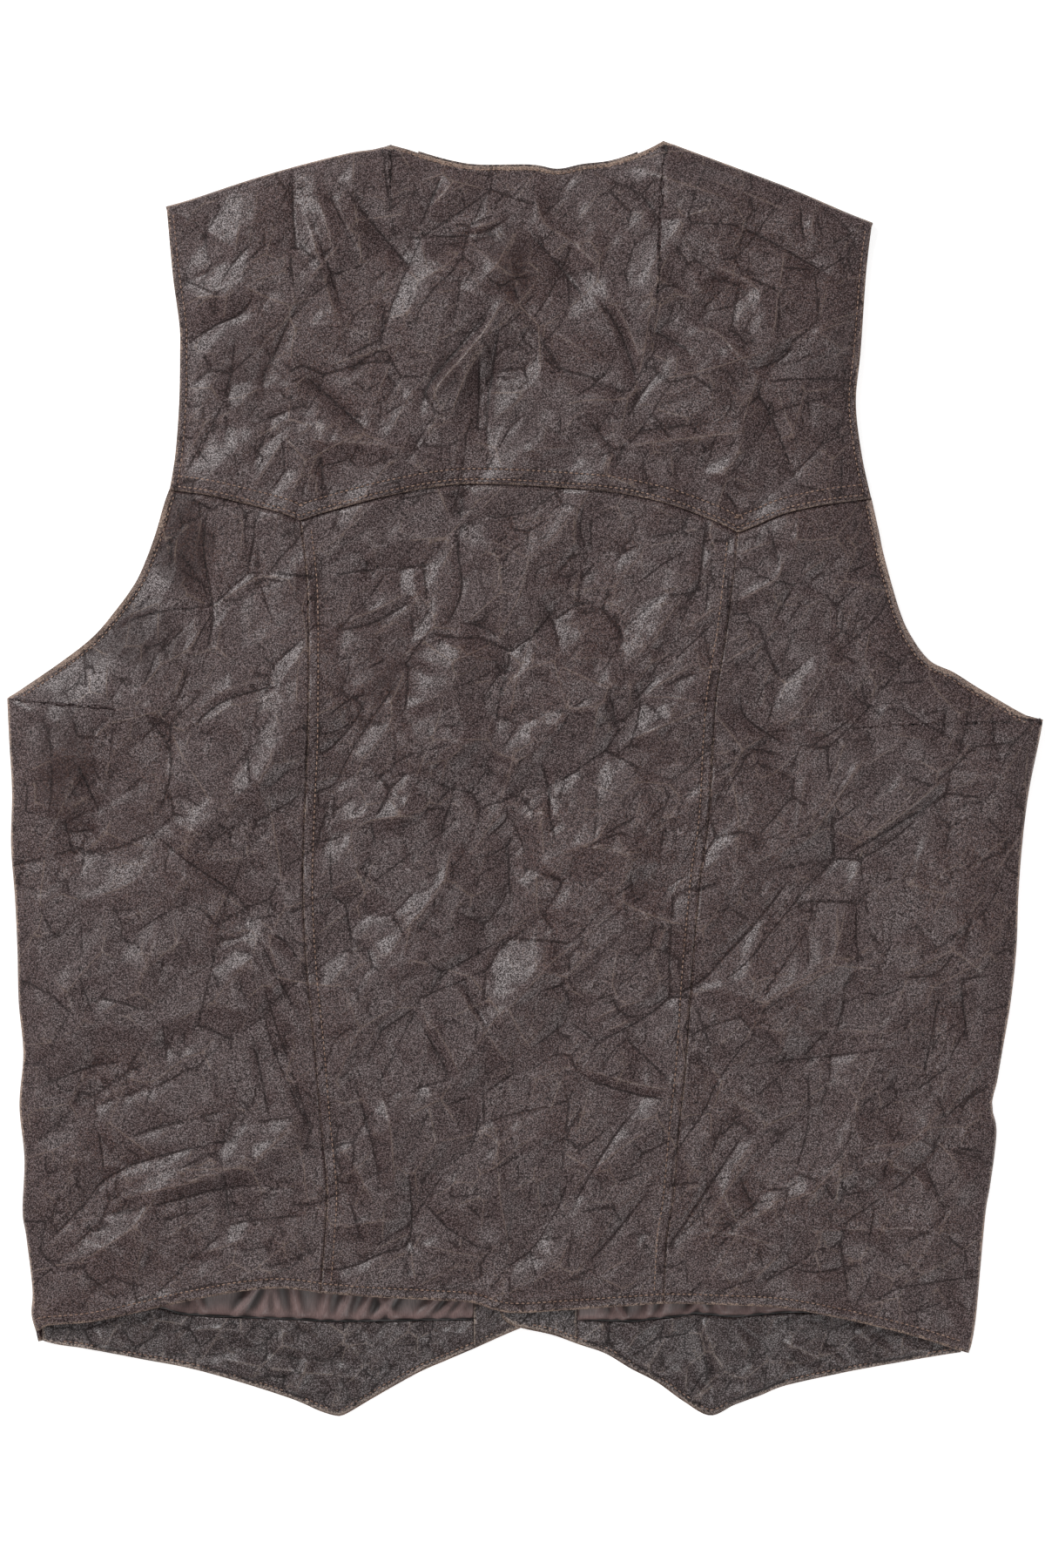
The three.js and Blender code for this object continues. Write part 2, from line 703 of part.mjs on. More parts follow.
// A piece that lies on a front inside the hem, between two uprights at x1 and x2.
// It stays clear of the hem by margin, and above is its outer face over the front's own.
function insidePiece({ isLeft, x1, x2, bottomAt, topAt, columns, rows, wall, relief }) {
  const front = isLeft ? leftFrontHeight : rightFrontHeight;
  const under = (x, y) => front(x + (isLeft ? LAP_BRIDGE : -LAP_BRIDGE), y);
  const line = (at) => (u) => {
    const x = x1 + u * (x2 - x1);
    return new THREE.Vector2(x, at(x));
  };
  const bottom = line(bottomAt);
  const top = line(topAt);
  return grid({
    left: straight(bottom(0), top(0)),
    right: straight(bottom(1), top(1)),
    bottom,
    top,
    columns,
    rows,
    height: (x, y) => under(x, y) + FRONT_WALL + LAYER_GAP + wall + relief(x, y),
  });
}
// The y of a curve at a given x, for a curve that runs one way in x.
function yAt(line) {
  const samples = line.getSpacedPoints(160);
  return (x) => {
    for (let i = 1; i < samples.length; i++) {
      const [a, b] = [samples[i - 1], samples[i]];
      if ((x - a.x) * (x - b.x) <= 0 && a.x !== b.x)
        return a.y + ((x - a.x) / (b.x - a.x)) * (b.y - a.y);
    }
    const [first, last] = [samples[0], samples.at(-1)];
    return Math.abs(x - first.x) < Math.abs(x - last.x) ? first.y : last.y;
  };
}
const HEM_MARGIN = 1.4;
const hemFade = (x, y, hemY) => THREE.MathUtils.smoothstep(y - hemY(x), 3, 9);
const facingRelief = (hemY) => (x, y) =>
  Math.max(0, foldRelief(INSIDE_FOLDS, x, y)) * hemFade(x, y, hemY);
function tuckRelief(x, y, topY) {
  const inside = y - topY(x);
  let sum = 0;
  for (const tuck of LINING_TUCKS) {
    const middle = tuck.x + (tuck.lean * inside) / 20;
    const spread = tuck.width * (0.5 + inside / 60);
    sum += tuck.height * Math.exp(-(((x - middle) / spread) ** 2)) * Math.exp(-inside / 35);
  }
  return Math.min(sum, TUCK_LIMIT) * THREE.MathUtils.smoothstep(inside, -0.1, 3);
}
const FACING_SEAM_LEFT = -27;
const FACING_SEAM_RIGHT = 27;
function insides() {
  for (const isLeft of [true, false]) {
    const word = isLeft ? "left" : "right";
    const hemY = yAt(isLeft ? LEFT_FRONT_HEM : RIGHT_FRONT_HEM);
    const topY = yAt(isLeft ? LEFT_FACING_TOP : RIGHT_FACING_TOP);
    const seam = isLeft ? FACING_SEAM_LEFT : FACING_SEAM_RIGHT;
    const outer = isLeft ? -249 : 223;
    const inner = isLeft ? 9.8 : -12.3;
    const away = Math.sign(outer);
    const bottomAt = (x) => hemY(x) + HEM_MARGIN;
    const facing = { isLeft, bottomAt, wall: FACING_WALL, relief: facingRelief(hemY) };
    const seamSide = seam + away * HALF_SEAM;
    add(
      "hem_facing_" + word,
      wallGeometry(
        insidePiece({ ...facing, x1: seamSide, x2: outer, topAt: topY, columns: 22, rows: 3 }),
        FACING_WALL,
      ),
      LEATHER,
    );
    add(
      "edge_facing_" + word,
      wallGeometry(
        insidePiece({
          ...facing, x1: inner, x2: seam - away * HALF_SEAM, topAt: () => INSIDE_TOP_Y, columns: 4, rows: 5,
        }),
        FACING_WALL,
      ),
      LEATHER,
    );
    add(
      "front_lining_" + word,
      wallGeometry(
        insidePiece({
          isLeft, x1: seamSide, x2: outer, bottomAt: (x) => topY(x) + SEAM_GAP, topAt: () => INSIDE_TOP_Y,
          columns: 34, rows: 4, wall: LINING_WALL, relief: (x, y) => tuckRelief(x, y, topY),
        }),
        LINING_WALL,
      ),
      LINING,
    );
  }
}

// The facing that shows as a second edge along the back of the neck.
function neckFacing() {
  const start = 0.1;
  const end = 0.9;
  const line = (distance) => {
    const edge = moved(whole(NECK), distance);
    return (t) => edge(start + t * (end - start));
  };
  const top = line(0);
  const bottom = line(-NECK_FACING_DEPTH);
  return grid({
    left: straight(bottom(0), top(0)),
    right: straight(bottom(1), top(1)),
    bottom,
    top,
    columns: 14,
    rows: 3,
    height: (x, y) => backHeight(x, y) - BACK_WALL - NECK_FACING_GAP,
  });
}

// A snap's cap, under the lapped edge, with its face on the table.
const snapCap = () =>
  new THREE.CylinderGeometry(SNAP_RADIUS, SNAP_RADIUS - SNAP_BEVEL, SNAP_HEIGHT, 20)
    .rotateX(Math.PI / 2)
    .translate(0, 0, SNAP_HEIGHT / 2);

add("back_yoke", wallGeometry(yoke(), BACK_WALL), LEATHER);
add("middle_back", wallGeometry(middleBack(), BACK_WALL), LEATHER);
add("side_back_left", wallGeometry(sideBack(true), BACK_WALL), LEATHER);
add("side_back_right", wallGeometry(sideBack(false), BACK_WALL), LEATHER);
add("front_left", wallGeometry(front(true), FRONT_WALL), LEATHER);
add("front_right", wallGeometry(front(false), FRONT_WALL), LEATHER);
insides();
add("neck_facing", wallGeometry(neckFacing(), FACING_WALL), LEATHER);
for (let n = 0; n < SNAP_COUNT; n++)
  add("snap_cap_" + (n + 1), snapCap(), METAL).position.set(LAP_X, SNAP_FIRST_Y + n * SNAP_PITCH, 0);

export default vest;
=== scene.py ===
# %% [markdown]
# # A worn leather vest, laid flat with its back up
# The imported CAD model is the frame: it says where each cut piece lies and how big it is. Its
# walls are plain, so this script makes each piece again as a thin creased shell with real
# leather, satin and thread, and the frame's own pieces stay for the physics.

# %% Load the frame
import math
import random
from collections import namedtuple

import bmesh
import bpy
import numpy as np
from mathutils import Matrix, Vector, noise


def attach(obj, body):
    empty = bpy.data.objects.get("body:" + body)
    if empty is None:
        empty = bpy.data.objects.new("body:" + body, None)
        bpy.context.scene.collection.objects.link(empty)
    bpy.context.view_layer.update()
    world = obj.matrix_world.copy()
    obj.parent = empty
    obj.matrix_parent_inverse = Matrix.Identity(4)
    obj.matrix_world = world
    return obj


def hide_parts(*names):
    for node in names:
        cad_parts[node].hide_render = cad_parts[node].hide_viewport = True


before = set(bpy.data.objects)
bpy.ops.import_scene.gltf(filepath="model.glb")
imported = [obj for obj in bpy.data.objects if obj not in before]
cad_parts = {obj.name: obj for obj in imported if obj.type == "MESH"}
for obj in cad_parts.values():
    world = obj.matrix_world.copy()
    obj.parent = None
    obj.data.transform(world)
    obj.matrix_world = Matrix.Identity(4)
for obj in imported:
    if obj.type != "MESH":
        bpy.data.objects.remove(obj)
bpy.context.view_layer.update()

# %% [markdown]
# ## Lines
# A pattern cutter draws smooth lines through a few points. All lines here are in millimetres,
# X to the right and Y towards the neck, and are made metres only in the meshes. A Catmull-Rom
# curve goes through its points, so each point is a place on the real outline.

# %% Smooth lines
MM = 0.001


def curve(*points, steps=16):
    """A smooth line through the points, as many short steps."""
    through = np.array(points, float)
    held = np.vstack([through[0], through, through[-1]])
    t = np.linspace(0, 1, steps, endpoint=False)[:, None]
    rows = []
    for before, start, end, after in zip(held, held[1:], held[2:], held[3:]):
        leave = (end - before) / 2
        arrive = (after - start) / 2
        rows.append(
            (2 * t**3 - 3 * t**2 + 1) * start
            + (t**3 - 2 * t**2 + t) * leave
            + (3 * t**2 - 2 * t**3) * end
            + (t**3 - t**2) * arrive
        )
    return np.vstack(rows + [through[-1:]])


def at(line, share):
    """The points at these shares of the line's length."""
    steps = np.linalg.norm(np.diff(line, axis=0), axis=1)
    length = np.concatenate([[0], np.cumsum(steps)])
    along = np.clip(share, 0, 1) * length[-1]
    return np.stack([np.interp(along, length, line[:, k]) for k in (0, 1)], axis=-1)


def chain(*pieces):
    """Several lines end to end as one, each up to its own share of the whole."""

    def point(share):
        share = np.asarray(share, float)
        result = np.zeros(share.shape + (2,))
        start = 0.0
        for line, end in pieces:
            here = (share >= start) & (share <= end)
            result[here] = at(line, (share[here] - start) / (end - start))
            start = end
        return result

    return point


def smoothstep(low, high, x):
    t = np.clip((x - low) / (high - low), 0, 1)
    return t * t * (3 - 2 * t)


# %% [markdown]
# ## The outline
# The vest as it lies: sides and shoulders are folds, the armholes, neck and hem are edges.

# %% Outline of the back
LEFT_SIDE = curve(
    (-256, -289), (-258.3, -280), (-257.8, -267), (-261, -240), (-263, -226), (-262, -199),
    (-264.6, -171), (-262.6, -144), (-265, -117), (-265.7, -89), (-267, -62), (-269, -35),
    (-268.5, -7), (-270, 20), (-271, 42),
)
RIGHT_SIDE = curve(
    (232, -300.5), (233.9, -294), (236, -280), (238.4, -253), (241, -226), (243.4, -212),
    (246.6, -185), (244.2, -171), (247, -158), (249.4, -144), (254, -117), (257, -89),
    (258, -62), (260, -35), (263.4, -7.5), (269, 20), (271, 31),
)
LEFT_ARMHOLE_LOW = curve(
    (-271, 42), (-263, 47), (-242.5, 61), (-226, 74), (-214, 88), (-204, 102), (-198, 115),
    (-193, 129), (-189, 143), (-186, 151.5),
)
LEFT_ARMHOLE_HIGH = curve(
    (-186, 151.5), (-183, 170), (-181, 197), (-180.6, 224), (-181, 238), (-184.7, 265), (-188, 299),
)
RIGHT_ARMHOLE_LOW = curve(
    (271, 31), (261, 33.5), (237.5, 47), (224, 55.5), (211.6, 61.5), (202, 74), (195.7, 88),
    (188, 115), (185, 129), (181, 147),
)
RIGHT_ARMHOLE_HIGH = curve(
    (181, 147), (176, 170), (173, 197), (175.6, 224), (178.8, 265), (182, 290.5),
)
LEFT_SHOULDER = curve(
    (-188, 299), (-174, 303), (-147, 312), (-120, 320), (-92, 327), (-79, 329), (-70, 331.6),
)
NECK = curve(
    (-70, 331.6), (-62, 330), (-51, 326.5), (-38, 323), (-24, 321), (3, 321), (17, 318.8),
    (30, 321.3), (44, 323), (58, 327.4), (72, 333.6),
)
RIGHT_SHOULDER = curve(
    (72, 333.6), (85, 328.7), (112, 318.7), (140, 308), (167, 296.4), (182, 290.5),
)
BACK_HEM_LEFT = curve(
    (-106.8, -268.6), (-118, -266.9), (-130.6, -266.2), (-148, -267.8), (-166.5, -271),
    (-186, -275), (-202.5, -279), (-229, -284.5), (-251, -286.5), (-256, -289),
)
BACK_HEM_MIDDLE = curve(
    (-106.8, -268.6), (-90, -270), (-76, -271), (-50, -272.2), (-28, -273.7), (-15.5, -277.6),
    (-3, -279), (25.5, -277.3), (52, -275.5), (72, -274.1),
)
BACK_HEM_RIGHT = curve(
    (72, -274.1), (97, -274.6), (133, -276.4), (160, -281), (187.5, -287.3), (205, -292),
    (222, -297.4), (232, -300.5),
)

# %% Seams of the back
YOKE_EDGE_LEFT = curve((-186, 151.5), (-165, 148.5), (-143, 143.4), (-128, 139.4), (-117.5, 135.4))
YOKE_EDGE_MIDDLE = curve(
    (-117.5, 135.4), (-100.7, 140.8), (-73, 148), (-46, 153), (-28, 154.5), (0, 153.6),
    (20, 152.4), (40, 150.7), (60, 147.5), (80, 142.3), (100, 134.5), (111, 129.2),
)
YOKE_EDGE_RIGHT = curve((111, 129.2), (120, 132.7), (130, 137), (140, 140.3), (160, 144.3), (181, 147))
LEFT_SEAM = curve(
    (-106.8, -268.6), (-104.7, -240), (-103.5, -215), (-106.8, -180), (-110, -140), (-114, -100),
    (-116, -60), (-115.2, -20), (-113.3, 20), (-113, 60), (-113.6, 100), (-117.5, 135.4),
)
RIGHT_SEAM = curve(
    (72, -274.1), (74, -240), (77, -220), (80.5, -180), (84, -146), (87.6, -92), (91.6, -50),
    (95.8, -20), (99.2, 38), (105, 75), (108, 100), (111, 129.2),
)

# %% Outline of the fronts
LEFT_FRONT_HEM = curve(
    (-256, -289), (-254, -294), (-245, -297), (-231, -299), (-204, -304), (-176.5, -309),
    (-149, -316.4), (-122, -325), (-108, -331), (-99, -333.6), (-94, -332.6), (-81, -325),
    (-67, -317), (-54, -310), (-40, -304), (-26, -298), (-13, -292), (-3.6, -288), (11, -282),
)
RIGHT_FRONT_HEM = curve(
    (232, -300.5), (219, -302.4), (192, -307), (165, -312), (137, -318), (124, -323),
    (110, -328), (97, -333.5), (83, -326), (69, -316), (55.5, -309), (42, -301), (28, -296),
    (14.6, -291), (1, -288), (-6, -286), (-11.5, -282.5), (-13.5, -277),
)
LEFT_FRONT_EDGE = curve((11, -282), (11, 20))
RIGHT_FRONT_EDGE = curve((-13.5, -277), (-13.5, 20))
LEFT_V_NECK = curve((11, 20), (-18, 90), (-44, 180), (-62, 262), (-70, 331.6))
RIGHT_V_NECK = curve((-13.5, 20), (17, 90), (44, 180), (63, 262), (72, 333.6))
LEFT_FRONT_ARMHOLE = curve(
    (-271, 42), (-238, 57), (-205, 86), (-187, 125), (-175, 170), (-172, 225), (-188, 299),
)
RIGHT_FRONT_ARMHOLE = curve(
    (271, 31), (236, 42), (206, 60), (184, 100), (169, 150), (165, 215), (182, 290.5),
)
LEFT_FACING_TOP = curve(
    (-250, -268), (-215, -274), (-196, -276.5), (-188, -278), (-180, -280.5), (-160, -282),
    (-120, -283.5), (-100, -284.5), (-60, -284), (-26.5, -283.4),
)
RIGHT_FACING_TOP = curve(
    (28, -283.5), (55, -284.5), (65, -283.5), (80, -282), (90, -280.5), (110, -282),
    (135, -280), (160, -279.5), (190, -276), (224, -268),
)
print("hem drop at the front points", round(float(LEFT_FRONT_HEM[:, 1].min())), "mm")

# %% [markdown]
# ## Creases
# Leather that has been folded away keeps sharp creases with flat facets between them. Each
# one is listed: a ridge stands up by its height, a furrow goes down by its depth, and
# the second number says how wide it is. The height falls away from the line as a tent does,
# which leaves facets, and a little rounding keeps the top from being a knife edge.

# %% Creases of the yoke
Crease = namedtuple("Crease", "height width path")


def ridge(height, width, *path):
    return Crease(height, width, curve(*path, steps=4))


def furrow(depth, width, *path):
    return Crease(-depth, width, curve(*path, steps=4))


YOKE_CREASES = [
    furrow(0.9, 3.0, (-165, 300), (-167, 282), (-165, 265)),
    furrow(1.0, 2.6, (-161, 255), (-150, 272), (-138, 283)),
    furrow(1.6, 2.4, (-178, 226), (-163, 236), (-148, 243), (-140, 255)),
    furrow(1.6, 3.0, (-122, 320), (-121, 290), (-119, 272)),
    ridge(1.1, 2.4, (-117, 300), (-107, 270), (-100, 245), (-92, 228)),
    furrow(1.0, 2.4, (-113, 296), (-103, 268), (-95, 243)),
    ridge(0.9, 2.0, (-110, 310), (-103, 286), (-98, 263)),
    furrow(1.1, 2.2, (-106, 312), (-95, 290), (-82, 265)),
    ridge(0.9, 1.8, (-99, 300), (-88, 278), (-80, 258)),
    furrow(1.8, 5.0, (-97, 312), (-80, 290), (-63, 270), (-57, 262)),
    furrow(1.5, 3.0, (-55, 288), (-45, 312), (-42, 320)),
    ridge(1.2, 2.6, (-52, 296), (-43, 305), (-34, 316)),
    furrow(1.1, 2.0, (-58, 285), (-40, 283), (-20, 286), (-5, 296)),
    ridge(1.0, 1.8, (-30, 287), (-20, 289), (-10, 293)),
    furrow(0.9, 4.0, (-55, 278), (-32, 280), (-10, 285)),
    ridge(0.7, 1.2, (-51, 264.5), (-40, 265), (-28, 266)),
    furrow(0.9, 2.0, (-33, 265), (-35, 250), (-38, 235)),
    ridge(0.9, 1.8, (-9, 275), (-15, 268), (-22, 258)),
    ridge(0.9, 1.8, (-9, 275), (-5, 258), (0, 243)),
    furrow(1.1, 2.0, (-9, 262), (-5, 254), (-2, 245)),
    ridge(1.7, 2.4, (-9, 252), (-25, 228), (-45, 205), (-50, 190)),
    furrow(1.3, 2.4, (-15, 250), (-31, 229), (-50, 206), (-56, 188)),
    ridge(1.3, 2.2, (-15, 232), (-30, 212), (-40, 185)),
    furrow(1.2, 2.2, (-12, 245), (-20, 190), (-18, 162)),
    furrow(1.0, 2.4, (-25, 235), (-24, 200), (-26, 170)),
    furrow(0.9, 2.2, (-118, 245), (-135, 215), (-137, 195)),
    furrow(0.9, 4.0, (-150, 240), (-155, 200), (-157, 170)),
    furrow(1.9, 2.0, (-116, 211), (-100, 197), (-83, 182)),
    furrow(1.0, 2.0, (-145, 183), (-126, 191), (-108, 197)),
    furrow(1.0, 2.0, (-128, 190), (-137, 176), (-143, 162)),
    ridge(1.0, 1.8, (-122, 182), (-133, 166), (-142, 150)),
    furrow(1.0, 1.8, (-95, 210), (-82, 217), (-65, 216)),
    furrow(0.8, 1.8, (-75, 188), (-68, 193), (-60, 196)),
    ridge(1.0, 1.8, (-112, 176), (-80, 174), (-60, 169)),
    furrow(1.0, 1.8, (-60, 168), (-52, 182), (-42, 187)),
    ridge(1.0, 2.0, (-58, 178), (-50, 183), (-42, 186)),
    furrow(1.0, 2.0, (-110, 175), (-106, 162), (-103, 150)),
    furrow(0.9, 4.0, (-177, 178), (-170, 170), (-162, 160)),
    ridge(1.3, 2.6, (60, 318), (85, 309), (110, 301)),
    furrow(1.0, 2.0, (37, 316), (62, 303), (75, 280)),
    ridge(1.2, 2.4, (5, 308), (10, 290), (25, 280), (42, 262)),
    furrow(1.1, 2.2, (0, 287), (20, 265), (35, 245)),
    furrow(1.7, 2.4, (36, 252), (48, 236), (56, 215), (60, 203)),
    ridge(0.9, 1.6, (41, 255), (53, 236), (61, 214)),
    ridge(0.9, 1.8, (32, 255), (44, 238), (52, 222)),
    furrow(1.0, 2.0, (42, 188), (52, 187), (60, 200), (72, 214)),
    furrow(1.2, 2.2, (-2, 250), (5, 235), (18, 215), (30, 206)),
    ridge(0.9, 1.8, (10, 235), (24, 227), (38, 218)),
    furrow(1.6, 2.2, (62, 236), (82, 225), (85, 220)),
    ridge(0.9, 1.8, (62, 265), (75, 257), (87, 250)),
    furrow(1.1, 2.0, (95, 262), (110, 257), (117, 250)),
    ridge(0.9, 1.8, (96, 267), (112, 262), (121, 254)),
    furrow(1.8, 4.6, (105, 290), (125, 282), (160, 262)),
    furrow(1.0, 2.4, (143, 305), (145, 285), (148, 278)),
    ridge(0.9, 2.0, (151, 300), (150, 289), (148, 280)),
    furrow(1.0, 3.0, (155, 300), (170, 285), (175, 270)),
    ridge(1.0, 1.6, (85, 228), (92, 234), (100, 232), (110, 222), (120, 212)),
    furrow(1.5, 3.6, (125, 208), (122, 200), (128, 190), (140, 160)),
    ridge(1.0, 1.8, (131, 205), (135, 192), (143, 174)),
    furrow(1.1, 2.0, (117, 212), (135, 220), (142, 232)),
    furrow(0.9, 2.0, (100, 220), (107, 210), (113, 201)),
    ridge(0.9, 2.4, (150, 197), (161, 193), (172, 188)),
    ridge(0.9, 2.4, (150, 235), (160, 228), (170, 222)),
    ridge(1.6, 3.0, (50, 173), (75, 176), (100, 179), (117, 180)),
    furrow(1.1, 2.2, (50, 180), (75, 183), (100, 186)),
    furrow(1.1, 2.0, (30, 190), (45, 172), (50, 160)),
    ridge(0.7, 1.2, (0, 171), (14, 172), (27, 174)),
    furrow(1.2, 4.0, (100, 155), (108, 145), (112, 138)),
    ridge(1.0, 2.0, (95, 160), (110, 156), (125, 150)),
]

# %% Creases of the upper back
UPPER_LEFT_CREASES = [
    furrow(1.7, 4.6, (-165, 145), (-168, 120), (-163, 85), (-168, 62)),
    furrow(0.9, 2.4, (-182, 120), (-176, 112), (-170, 105)),
    furrow(0.9, 4.6, (-140, 130), (-138, 100), (-128, 75)),
    ridge(0.8, 1.6, (-121, 120), (-120, 107), (-120, 95)),
    furrow(1.7, 2.6, (-182, 18), (-165, 35), (-150, 43), (-122, 50)),
    ridge(0.8, 2.0, (-178, 27), (-164, 41), (-148, 49), (-128, 55)),
    furrow(1.2, 4.4, (-208, 42), (-188, 20), (-185, 5), (-190, -15), (-200, -25)),
    ridge(1.1, 2.2, (-200, 38), (-192, 33), (-185, 25)),
    furrow(1.0, 2.2, (-230, 18), (-224, 26), (-217, 32)),
    furrow(1.6, 2.4, (-234, 8), (-228, -5), (-222, -18)),
    furrow(1.0, 2.2, (-245, -27), (-234, -28), (-222, -26)),
    furrow(0.9, 4.0, (-249, 35), (-247, 0), (-250, -25)),
    furrow(0.8, 3.0, (-217, 60), (-215, 30), (-220, -25)),
    furrow(1.3, 2.4, (-198, -25), (-178, -42), (-150, -62), (-141, -80)),
    ridge(0.9, 2.0, (-185, -22), (-172, -28), (-160, -33)),
    furrow(0.9, 2.0, (-140, -8), (-130, -2), (-118, 10)),
    furrow(1.6, 2.2, (-110, 12), (-100, 17), (-85, 35)),
    furrow(1.1, 2.0, (-105, 30), (-90, 42), (-78, 43)),
    furrow(1.5, 2.0, (-98, 77), (-80, 81), (-58, 93)),
    ridge(1.2, 1.8, (-98, 82), (-80, 87), (-58, 99)),
    furrow(1.2, 2.0, (-84, 115), (-82, 108), (-80, 102)),
    furrow(1.6, 2.2, (-33, 145), (-35, 120), (-33, 100), (-38, 85), (-45, 78)),
    furrow(1.0, 2.0, (-60, 88), (-59, 80), (-58, 73)),
    furrow(1.1, 2.0, (-38, 82), (-20, 78), (-10, 67), (-14, 60)),
    ridge(1.1, 2.2, (-50, 75), (-32, 66), (-12, 60)),
    furrow(1.0, 2.2, (-48, 153), (-55, 146), (-62, 140)),
    furrow(1.0, 2.2, (-30, 150), (-34, 146), (-38, 143)),
    furrow(1.0, 2.0, (-47, 28), (-40, 27), (-32, 28)),
    furrow(0.9, 2.0, (-50, 3), (-44, 8), (-38, 12)),
    ridge(1.3, 2.2, (-95, -30), (-80, -22), (-60, -20), (-50, -25)),
    furrow(1.1, 2.0, (-12, -10), (-10, -22), (-28, -36)),
    furrow(0.9, 2.0, (-45, -35), (-42, -22), (-38, -10)),
]
UPPER_RIGHT_CREASES = [
    furrow(1.1, 2.2, (35, 150), (30, 140), (29, 128), (33, 118)),
    furrow(0.9, 3.4, (28, 122), (22, 113), (15, 105)),
    furrow(0.9, 3.4, (38, 115), (32, 107), (25, 100)),
    ridge(0.9, 2.0, (65, 143), (72, 139), (80, 135)),
    furrow(1.6, 2.4, (94, 138), (93, 120), (90, 100), (83, 90)),
    ridge(1.5, 2.2, (110, 92), (125, 100), (133, 107), (133, 118)),
    furrow(1.0, 2.0, (130, 135), (129, 125), (134, 108)),
    ridge(0.8, 1.6, (143, 138), (142, 128), (141, 118)),
    ridge(0.9, 2.2, (143, 105), (151, 111), (158, 116)),
    furrow(1.0, 2.0, (140, 100), (135, 91), (130, 82)),
    furrow(1.2, 2.6, (160, 105), (173, 109), (185, 115)),
    furrow(2.0, 5.4, (160, 63), (185, 85), (190, 100)),
    ridge(1.5, 2.2, (103, 60), (120, 70), (135, 81)),
    ridge(1.0, 2.0, (80, 75), (92, 84), (105, 92)),
    ridge(1.2, 1.8, (60, 42), (75, 52), (90, 60)),
    ridge(1.0, 1.8, (60, 42), (78, 42), (95, 38)),
    furrow(1.2, 1.8, (72, 47), (81, 52), (90, 55)),
    ridge(1.6, 2.2, (45, 12), (60, 22), (97, 38)),
    ridge(0.9, 1.6, (52, 58), (55, 45), (52, 30)),
    furrow(1.1, 1.8, (42, 50), (46, 36), (48, 20)),
    ridge(0.8, 1.6, (20, 62), (35, 63), (50, 62)),
    furrow(1.6, 2.2, (113, 45), (115, 32), (138, 16)),
    ridge(1.0, 1.8, (125, 32), (125, 50), (132, 60), (140, 55)),
    furrow(1.2, 3.8, (100, 12), (120, 15), (140, 10)),
    ridge(0.9, 1.8, (147, 5), (144, -15), (142, -28)),
    furrow(1.0, 2.6, (165, 55), (175, 40), (190, 35)),
    furrow(1.2, 4.0, (190, 40), (215, 25), (238, 12)),
    furrow(1.0, 2.2, (190, 50), (203, 50), (215, 52)),
    ridge(0.9, 2.0, (150, 25), (160, 22), (170, 20)),
    ridge(0.9, 2.0, (185, 25), (198, 22), (212, 20)),
    ridge(0.9, 2.0, (175, 5), (186, 12), (198, 20)),
    ridge(1.3, 2.6, (165, -40), (195, -20), (225, 5)),
    furrow(1.4, 3.2, (150, -50), (185, -30), (225, -5)),
    ridge(1.2, 2.4, (140, -38), (155, -22), (182, 18)),
    furrow(1.0, 3.0, (243, 38), (245, 22), (248, 5)),
    furrow(1.6, 2.2, (8, 10), (12, -5), (13, -20), (16, -35)),
    furrow(1.1, 2.2, (8, 95), (15, 80), (18, 65)),
    furrow(1.1, 2.2, (40, -30), (51, -24), (62, -18)),
]

